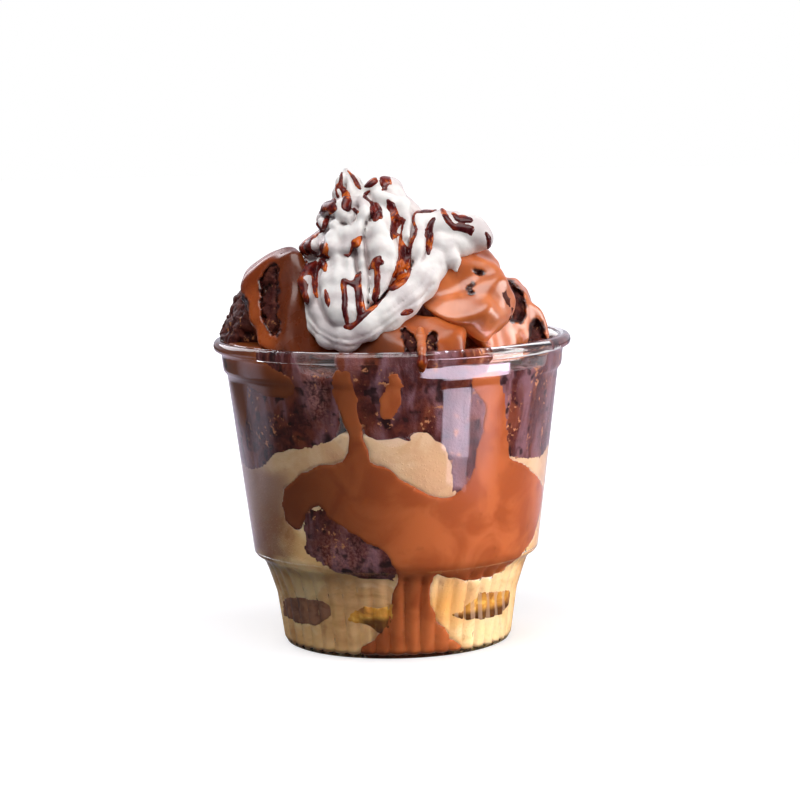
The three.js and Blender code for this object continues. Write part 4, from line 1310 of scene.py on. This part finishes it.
# Syrup on the cream, as seen from the front: x, z and half width on the mark plane
SYRUP_FRONT = (
    ((-12.4, 130.2, 0.3), (-12.5, 128.1, 0.5), (-12.7, 126.2, 0.6), (-12, 125.2, 0.6),
     (-11.3, 123.8, 1)),
    ((-13.6, 126.8, 0.4), (-13.9, 125.2, 0.3), (-13.4, 123.6, 0.4)),
    ((-12, 126, 0.5), (-11.3, 124.4, 1), (-11, 122.5, 1.3), (-11.3, 121.2, 1.4), (-10.8, 120.4, 0.8)),
    ((-9.2, 120.3, 0.5), (-8.5, 119.5, 0.6)),
    ((-10.6, 130.4, 0.3), (-9.3, 128.8, 0.5), (-8.3, 126.9, 0.7), (-7.5, 125.7, 0.4)),
    ((-14.5, 122.6, 0.7), (-16.4, 121, 1.4), (-17.7, 120, 0.9)),
    ((-14.8, 120.7, 1.2), (-15.6, 119.4, 0.6)),
    ((-16.4, 118.1, 0.7), (-17, 116.3, 0.8), (-17.6, 114.7, 0.5)),
    ((-6.2, 126.2, 0.3), (-4.9, 126.9, 1), (-3.8, 127.6, 1)),
    ((-1.1, 128.4, 1.1), (-1, 127, 1.2)),
    ((-0.1, 127.8, 1), (0.7, 126.7, 0.3)),
    ((-1.7, 125.3, 0.3), (-0.7, 125.5, 0.4)),
    ((-4.9, 125, 0.3), (-6, 124.4, 0.6), (-6.3, 123.6, 0.5), (-5.2, 122.6, 0.3), (-4.2, 121.7, 0.5)),
    ((-4.5, 121.4, 0.5), (-3.7, 120.2, 1.4), (-3.4, 118.9, 1.6), (-3.7, 117.6, 0.8)),
    ((-3.4, 121, 1), (-2.4, 120.2, 0.6), (-2.1, 118.1, 0.5)),
    ((-0.2, 122.3, 0.5), (0.6, 120.9, 1.2), (1.3, 119.6, 1), (1.6, 118, 1.2), (1.8, 116.7, 1.4),
     (1.2, 114.8, 1), (0.7, 113.3, 0.6), (0.8, 112.2, 0.3)),
    ((2.1, 117.5, 0.6), (3.4, 117.2, 0.7), (4.1, 117.2, 0.4)),
    ((3.8, 116.6, 0.4), (3.4, 115.1, 0.3), (3.1, 113.5, 0.3), (3, 111.6, 0.5)),
    ((0.9, 112.2, 0.3), (1.5, 113, 0.6), (2.1, 113.5, 0.4)),
    ((3, 111.1, 0.7), (3.5, 109.5, 1.3), (3.7, 107.4, 1.5), (3, 105.2, 1.4), (2.1, 103.7, 1),
     (0.8, 102.1, 0.4)),
    ((7.1, 114.7, 0.4), (6.5, 112.6, 0.5), (5.5, 110.8, 0.6), (5.1, 108.7, 0.7), (4.8, 106.3, 0.8),
     (4.7, 104.4, 0.8)),
    ((7.7, 119.5, 0.3), (6.7, 118.7, 0.3), (6.3, 117.4, 0.4), (6.7, 115.8, 0.4), (7.1, 114.7, 0.4)),
    ((7.7, 119.2, 0.3), (9.3, 119.4, 0.4), (10.9, 119.4, 0.6), (12.5, 119.9, 0.3)),
    ((11.9, 117.3, 0.5), (11.1, 116.2, 0.8), (10.6, 114.4, 0.9), (10.7, 112.3, 1), (10.4, 110.1, 1),
     (10.2, 108.3, 0.6)),
    ((9.7, 114.7, 0.3), (9.4, 112.8, 0.3)),
    ((13.8, 120.7, 0.6), (14.3, 119.3, 0.7), (15.1, 117.5, 0.8), (16.3, 115.8, 0.7),
     (17.4, 114.8, 0.8)),
    ((16.9, 118.7, 0.4), (18, 117.4, 0.8), (19.5, 117.1, 1.2), (21.4, 116.8, 0.8)),
    ((17.9, 115, 1), (19.8, 114.7, 1.2), (21.3, 114.3, 1.2), (21.6, 112.8, 0.3)),
    ((25.6, 113.3, 0.4), (26.3, 111.9, 0.6), (26.3, 109.8, 0.6), (26, 108.2, 0.3)),
    ((-20.5, 114, 0.6), (-21.6, 112.4, 0.8), (-21.9, 110.5, 0.9), (-22, 109, 0.7)),
    ((-23.2, 111.6, 0.4), (-23.4, 110.3, 0.4), (-23, 109.2, 0.3)),
    ((-17.4, 111, 1), (-17.4, 109.7, 1.2), (-17.5, 108.6, 1)),
    ((-19.3, 108, 0.3), (-17.5, 107.8, 0.5), (-15.9, 107.6, 0.3)),
    ((-18, 106.5, 1), (-17.5, 105.4, 1), (-17.3, 104.3, 0.5)),
    ((-18.6, 106.2, 0.6), (-19.7, 104.4, 0.7), (-20, 102.5, 0.8), (-20, 100.4, 0.8),
     (-20.1, 98.8, 0.7), (-19.6, 97.2, 0.5)),
    ((-22.5, 106.6, 0.7), (-23.9, 105.5, 0.6), (-24.5, 104, 0.5), (-25, 102.4, 0.5),
     (-25.1, 100.8, 1.3), (-25.4, 99.5, 1.4), (-24.1, 98.9, 0.6)),
    ((-24.9, 97.6, 1.1), (-24.4, 96.2, 1.2), (-23.9, 94.9, 0.5)),
    ((-26.4, 101.6, 0.5), (-26.5, 101.3, 0.5)),
    ((-26.6, 98.9, 0.5), (-26.5, 98.7, 0.5)),
    ((-17.4, 99, 0.4), (-17.1, 97.4, 0.7), (-16.7, 95.8, 0.7), (-16.6, 94.5, 0.3)),
    ((-12.3, 101.3, 0.8), (-12.5, 100, 0.8), (-12.3, 98.4, 0.7), (-12.2, 96.3, 0.8), (-12.4, 94.1, 0.8),
     (-12.1, 92, 0.7), (-11.8, 90.1, 0.5)),
    ((-12.3, 101.4, 0.7), (-11, 100.8, 0.5), (-10, 100.5, 0.8), (-8.9, 100.4, 1)),
    ((-8, 103.6, 0.4), (-8.6, 102.3, 0.9), (-8.8, 100.4, 1.1), (-8.5, 98.3, 1), (-8.3, 96.2, 1.1),
     (-8, 94, 1.2), (-8, 92.2, 1), (-8.7, 91.1, 0.6)),
    ((-2.6, 107.5, 0.5), (-3.5, 106.4, 1.2), (-4.8, 105, 0.8), (-5.6, 104.4, 0.3)),
    ((-3.5, 106.4, 1.2), (-2.3, 106, 0.8)),
    ((-3.5, 104.6, 0.8), (-3.4, 101.9, 0.9), (-3.5, 99.8, 0.8), (-3.8, 98.2, 1), (-4.2, 96.6, 0.9),
     (-4.2, 95.8, 0.5)),
    ((-12.3, 89.1, 0.6), (-11, 89, 0.8), (-9.7, 89.8, 0.7), (-8.3, 90.8, 0.5), (-6.7, 92.4, 0.5),
     (-5.3, 93.7, 0.7), (-4.2, 94.5, 0.5), (-2.9, 95.8, 0.3), (-1.3, 97.6, 0.3), (-0.3, 99.2, 0.3)),
    ((0.2, 99.2, 0.9), (1.7, 100.2, 1.3), (3.3, 101.3, 1.1), (4.7, 102.6, 0.6), (5.3, 104.1, 0.4)),
    ((1.8, 102.4, 0.7), (3.1, 103.1, 0.8)),
    ((2.9, 92.2, 0.5), (4, 92.6, 0.9), (5.4, 93, 0.6)),
    ((-9.7, 110, 0.6), (-8.9, 111.3, 1.3), (-8.1, 112.2, 0.9), (-7.4, 112.9, 0.4)),
    ((-12.4, 108.5, 0.2), (-11.1, 107.9, 0.4), (-10.3, 108.7, 0.4), (-10, 109.8, 0.5)),
)
# Runs round the sides and the back of the mound: angle and drift in degrees, top and foot as shares of
# its height
SYRUP_ROUND = (
    (-62, 10, 0.62, 0.36), (74, 6, 0.8, 0.45), (122, -6, 0.85, 0.4), (175, 7, 0.9, 0.4),
    (-115, 6, 0.86, 0.42),
    (148, -4, 0.8, 0.5), (-140, 5, 0.78, 0.36), (-85, -6, 0.74, 0.44), (100, 5, 0.7, 0.3),
)
SYRUP_THICKNESS = 0.36


def mound_point(angle, share):
    """The place on the mound at an angle from the front and a share of its height."""
    shares = np.linspace(0, 1, len(MOUND))
    height, left, right, middle_y, deep = (np.interp(share, shares, MOUND[:, n]) for n in range(5))
    turn = math.radians(angle)
    x = (left + right) / 2 + (right - left) / 2 * math.sin(turn)
    return (x, middle_y - deep * math.cos(turn), height)


def syrup_region(x, y, z):
    """How far a place is outside the runs of syrup, in millimetres."""
    front = marked(x, y, z, SYRUP_FRONT) + smoothstep(y, -9, -6) * 20
    tubes = np.float32(1e3)
    for angle, drift, top, foot in SYRUP_ROUND:
        points = [(*mound_point(angle + drift * share, top + (foot - top) * share), 1.1)
                  for share in np.linspace(0, 1, 6)]
        for one, other in zip(points, points[1:]):
            tubes = np.minimum(tubes, segment(x, y, z, one, other) - 1.0)
    return np.minimum(front, np.maximum(tubes, -1.0)) + 0.1 * relief(x, y, z, 51, 4)


def syrup_form(x, y, z):
    cream = cream_form(x, y, z)
    region = syrup_region(x, y, z)
    domed = SYRUP_THICKNESS * np.sqrt(np.clip(-region / 0.6, 0, 1)) - np.maximum(region, 0)
    return np.maximum(cream - domed, -cream - 0.9)


def syrup_marks(points, normals):
    return np.zeros(len(points)), {"inner": -syrup_region(points[:, 0], points[:, 1], points[:, 2])}


def cream_lumps(points, normals):
    return 0.07 * noise(points, 2.6, 71) + 0.04 * noise(points, 1.0, 72), {}


def fillings():
    formed("ice_cream_fill", ["ice_cream"], ice_cream_form, ((-43, -43, 1), (43, 43, 68)),
           ICE_CREAM_STEP, ICE_CREAM, ice_cream_marks)
    formed("ice_cream_pockets", ["ice_cream"], pocket_form, ((-37, -37, 4), (37, 37, 20)),
           POCKET_STEP, POCKET)
    formed("chocolate_sauce_fill", ["chocolate_sauce"], sauce_form,
           ((-47.5, -47.5, 1), (47.5, 47.5, 85)), SAUCE_STEP, SAUCE)


def cream():
    formed("whipped_cream_foam", ["whipped_cream"], cream_form, CREAM_BOX,
           CREAM_STEP, FOAM, cream_lumps)
    formed("whipped_cream_syrup", ["whipped_cream"], syrup_form, CREAM_BOX,
           SYRUP_STEP, SYRUP, syrup_marks, least=22)


def rim_drip():
    """The thin run of sauce that goes over the rim at the front, with a dark drop at its end."""
    run = ((7.6, -36.5, 88.8, 1), (7.7, -41.2, 87.3, 1.15), (7.8, -44.5, 85.7, 1), (7.8, -47.6, 85, 1),
           (7.8, -49.4, 83.8, 1))
    drop = ((7.8, -49.7, 83.2, 0.95), (7.75, -49.8, 81.8, 1.25), (7.7, -49.2, 80.2, 1.05))
    formed("rim_run", [],
           lambda x, y, z: tube(x, y, z, run, 1.0) + 0.12 * relief(x, y, z, 81, 3),
           ((4.5, -53, 78), (11, -34, 92)), RIM_STEP, COAT)
    formed("rim_drop", [], lambda x, y, z: tube(x, y, z, drop, 1.0),
           ((4.5, -53, 77), (11, -45, 86)), RIM_STEP, SYRUP)


# What the lights that only make reflections shine on
cup_alone = bpy.data.collections.new("cup_alone")
cup_alone.objects.link(cup())
fillings()
chunks()
cream()
rim_drip()


# The studio

def stage():
    """A pale floor that glows on, and is dim in reflections towards the front and the left."""
    bpy.ops.mesh.primitive_circle_add(vertices=96, radius=3.0, fill_type="NGON", location=(0, 0, -0.0002))
    floor = bpy.context.object
    floor.name = "floor"
    n = Look("floor_paper")
    grain = n.noise(30.0, 3.0)
    white = n.ramp(grain, ((0.3, (0.50, 0.50, 0.51)), (0.7, (0.52, 0.52, 0.53))))
    paper = n.shader(Base_Color=white, Roughness=0.8)
    away = n.add("ShaderNodeVectorMath", {"operation": "LENGTH"}, Vector=n.place).outputs["Value"]
    glow = n.add("ShaderNodeEmission", Color=(1, 1, 1, 1), Strength=n.level(away, 0.05, 0.7, 0.55, 1.0))
    both = n.add("ShaderNodeAddShader")
    n.put(both.inputs[0], paper)
    n.put(both.inputs[1], glow.outputs["Emission"])
    sides = n.add("ShaderNodeSeparateXYZ", Vector=n.place).outputs
    bright = n.math("MULTIPLY", n.level(sides["Y"], -0.02, 0.2), n.level(sides["X"], -0.26, -0.17))
    dim = n.shader(Base_Color=n.mixed(bright, (0.05, 0.05, 0.052), (0.66, 0.60, 0.72)), Roughness=0.9)
    floor.data.materials.append(n.finish(n.blend(n.looked_at(), dim, both.outputs["Shader"])))


# The middle of the sundae, which the lights look at unless told otherwise
LIGHT_TARGET = (0, 0, 0.07)


def aim(thing, place, target):
    back = (Vector(place) - Vector(target)).normalized()
    thing.rotation_mode = "QUATERNION"
    thing.location = place
    thing.rotation_quaternion = back.to_track_quat("Z", "Y")


def lamp(name, place, size, radiance, color, target=LIGHT_TARGET, full=None):
    """A soft light, its brightness given for each part of its face.

    With full, which soften_edges explains, the light only makes reflections in the cup.
    """
    data = bpy.data.lights.new(name, "AREA")
    data.shape = "RECTANGLE"
    data.size, data.size_y = size
    data.energy = radiance * math.pi * size[0] * size[1]
    data.color = color
    light = bpy.data.objects.new(name, data)
    bpy.context.scene.collection.objects.link(light)
    aim(light, place, target)
    if full is not None:
        light.visible_diffuse = False
        light.light_linking.receiver_collection = cup_alone
        soften_edges(data, full)
    light.visible_camera = False


def soften_edges(data, full):
    """Let a light fade to its edges, from where it is full, given as a distance from its middle."""
    data.use_nodes = True
    n = Nodes(data.node_tree)
    face = n.add("ShaderNodeNewGeometry").outputs["Parametric"]
    parts = n.add("ShaderNodeSeparateXYZ", Vector=face).outputs
    offsets = [n.math("ABSOLUTE", n.math("SUBTRACT", parts[axis], 0.5)) for axis in range(2)]
    across, upright = (n.level(offset, 0.5, full) for offset in offsets)
    emission = next(node for node in n.tree.nodes if node.type == "EMISSION")
    n.put(emission.inputs["Strength"], n.math("MULTIPLY", across, upright))


def from_side(angle, rise, distance):
    """The place at an angle from the front, so steep and so far from the middle of the sundae."""
    a, e = math.radians(angle), math.radians(rise)
    level = distance * math.cos(e)
    return (level * math.sin(a), -level * math.cos(a), LIGHT_TARGET[2] + distance * math.sin(e))


def lights():
    lamp("key_light", from_side(-10, 64, 0.9), (0.8, 0.8), 4.2, (1.0, 0.985, 0.97))
    lamp("side_light", from_side(78, 14, 0.9), (0.5, 0.45), 8.5, (1.0, 0.97, 0.95))
    lamp("fill_light", from_side(-40, 20, 1.1), (0.6, 0.6), 0.4, (0.9, 0.9, 1.0))
    lamp("back_light", from_side(-142, 30, 1.0), (0.6, 0.6), 3.5, (0.97, 0.95, 1.0))
    lamp("band_light", (0.0868, -0.1085, 0.0285), (0.05, 0.022), 9.5, (0.88, 0.8, 1),
         (0.0168, -0.0399, 0.0655), 0.4)
    lamp("low_band_light", (0.089, -0.105, 0.013), (0.04, 0.012), 3.5, (0.8, 0.78, 1),
         (0.018, -0.039, 0.053), 0.35)
    lamp("collar_light", (0.085, -0.088, 0.053), (0.14, 0.016), 15, (0.95, 0.82, 1),
         (0.02, -0.026, 0.06), 0.44)
    lamp("wide_band_light", (0.115, -0.086, 0.038), (0.11, 0.08), 2.8, (0.95, 0.8, 0.95),
         (0.022, -0.037, 0.066), 0.12)
    lamp("left_band_light", (-0.175, 0.032, 0.034), (0.12, 0.08), 0.9, (0.9, 0.82, 1),
         (-0.0356, -0.024, 0.064), 0.12)


def surroundings():
    """A white world where it is seen itself, and a pale one in gloss, brighter behind and on the right."""
    world = bpy.data.worlds.new("studio")
    bpy.context.scene.world = world
    world.use_nodes = True
    n = Nodes(world.node_tree)
    n.tree.nodes.clear()
    output = n.add("ShaderNodeOutputWorld")
    way = n.add("ShaderNodeTexCoord").outputs["Generated"]
    sides = n.add("ShaderNodeSeparateXYZ", Vector=way).outputs
    behind = n.level(sides["Y"], -0.2, 0.7, 0.0, 0.75, "LINEAR")
    rightward = n.level(sides["X"], -0.85, 0.1, 0.15, 1.0, "LINEAR")
    glossy = n.add("ShaderNodeLightPath").outputs["Is Glossy Ray"]
    bright = n.math("MULTIPLY_ADD", glossy, n.math("MULTIPLY", behind, rightward), 0.1)
    pale = n.add("ShaderNodeBackground", Color=(0.9, 0.87, 1.0, 1), Strength=bright).outputs[0]
    white = n.add("ShaderNodeBackground", Color=(1, 1, 1, 1), Strength=1.0).outputs[0]
    n.put(output.inputs["Surface"], n.blend(n.looked_at(), pale, white))


def camera():
    data = bpy.data.cameras.new("camera")
    data.lens = CAMERA_LENS
    data.sensor_width = 36
    data.clip_start, data.clip_end = 0.01, 20
    eye = bpy.data.objects.new("camera", data)
    bpy.context.scene.collection.objects.link(eye)
    level_up = Matrix.Rotation(math.pi / 2 - CAMERA_PITCH, 4, "X")
    place = Matrix.Translation([c * MM for c in CAMERA_PLACE])
    eye.matrix_world = place @ level_up @ Matrix.Rotation(-CAMERA_ROLL, 4, "Z")
    bpy.context.scene.camera = eye


stage()
lights()
surroundings()
camera()
bpy.context.scene.view_settings.view_transform = "Standard"

bpy.context.view_layer.update()
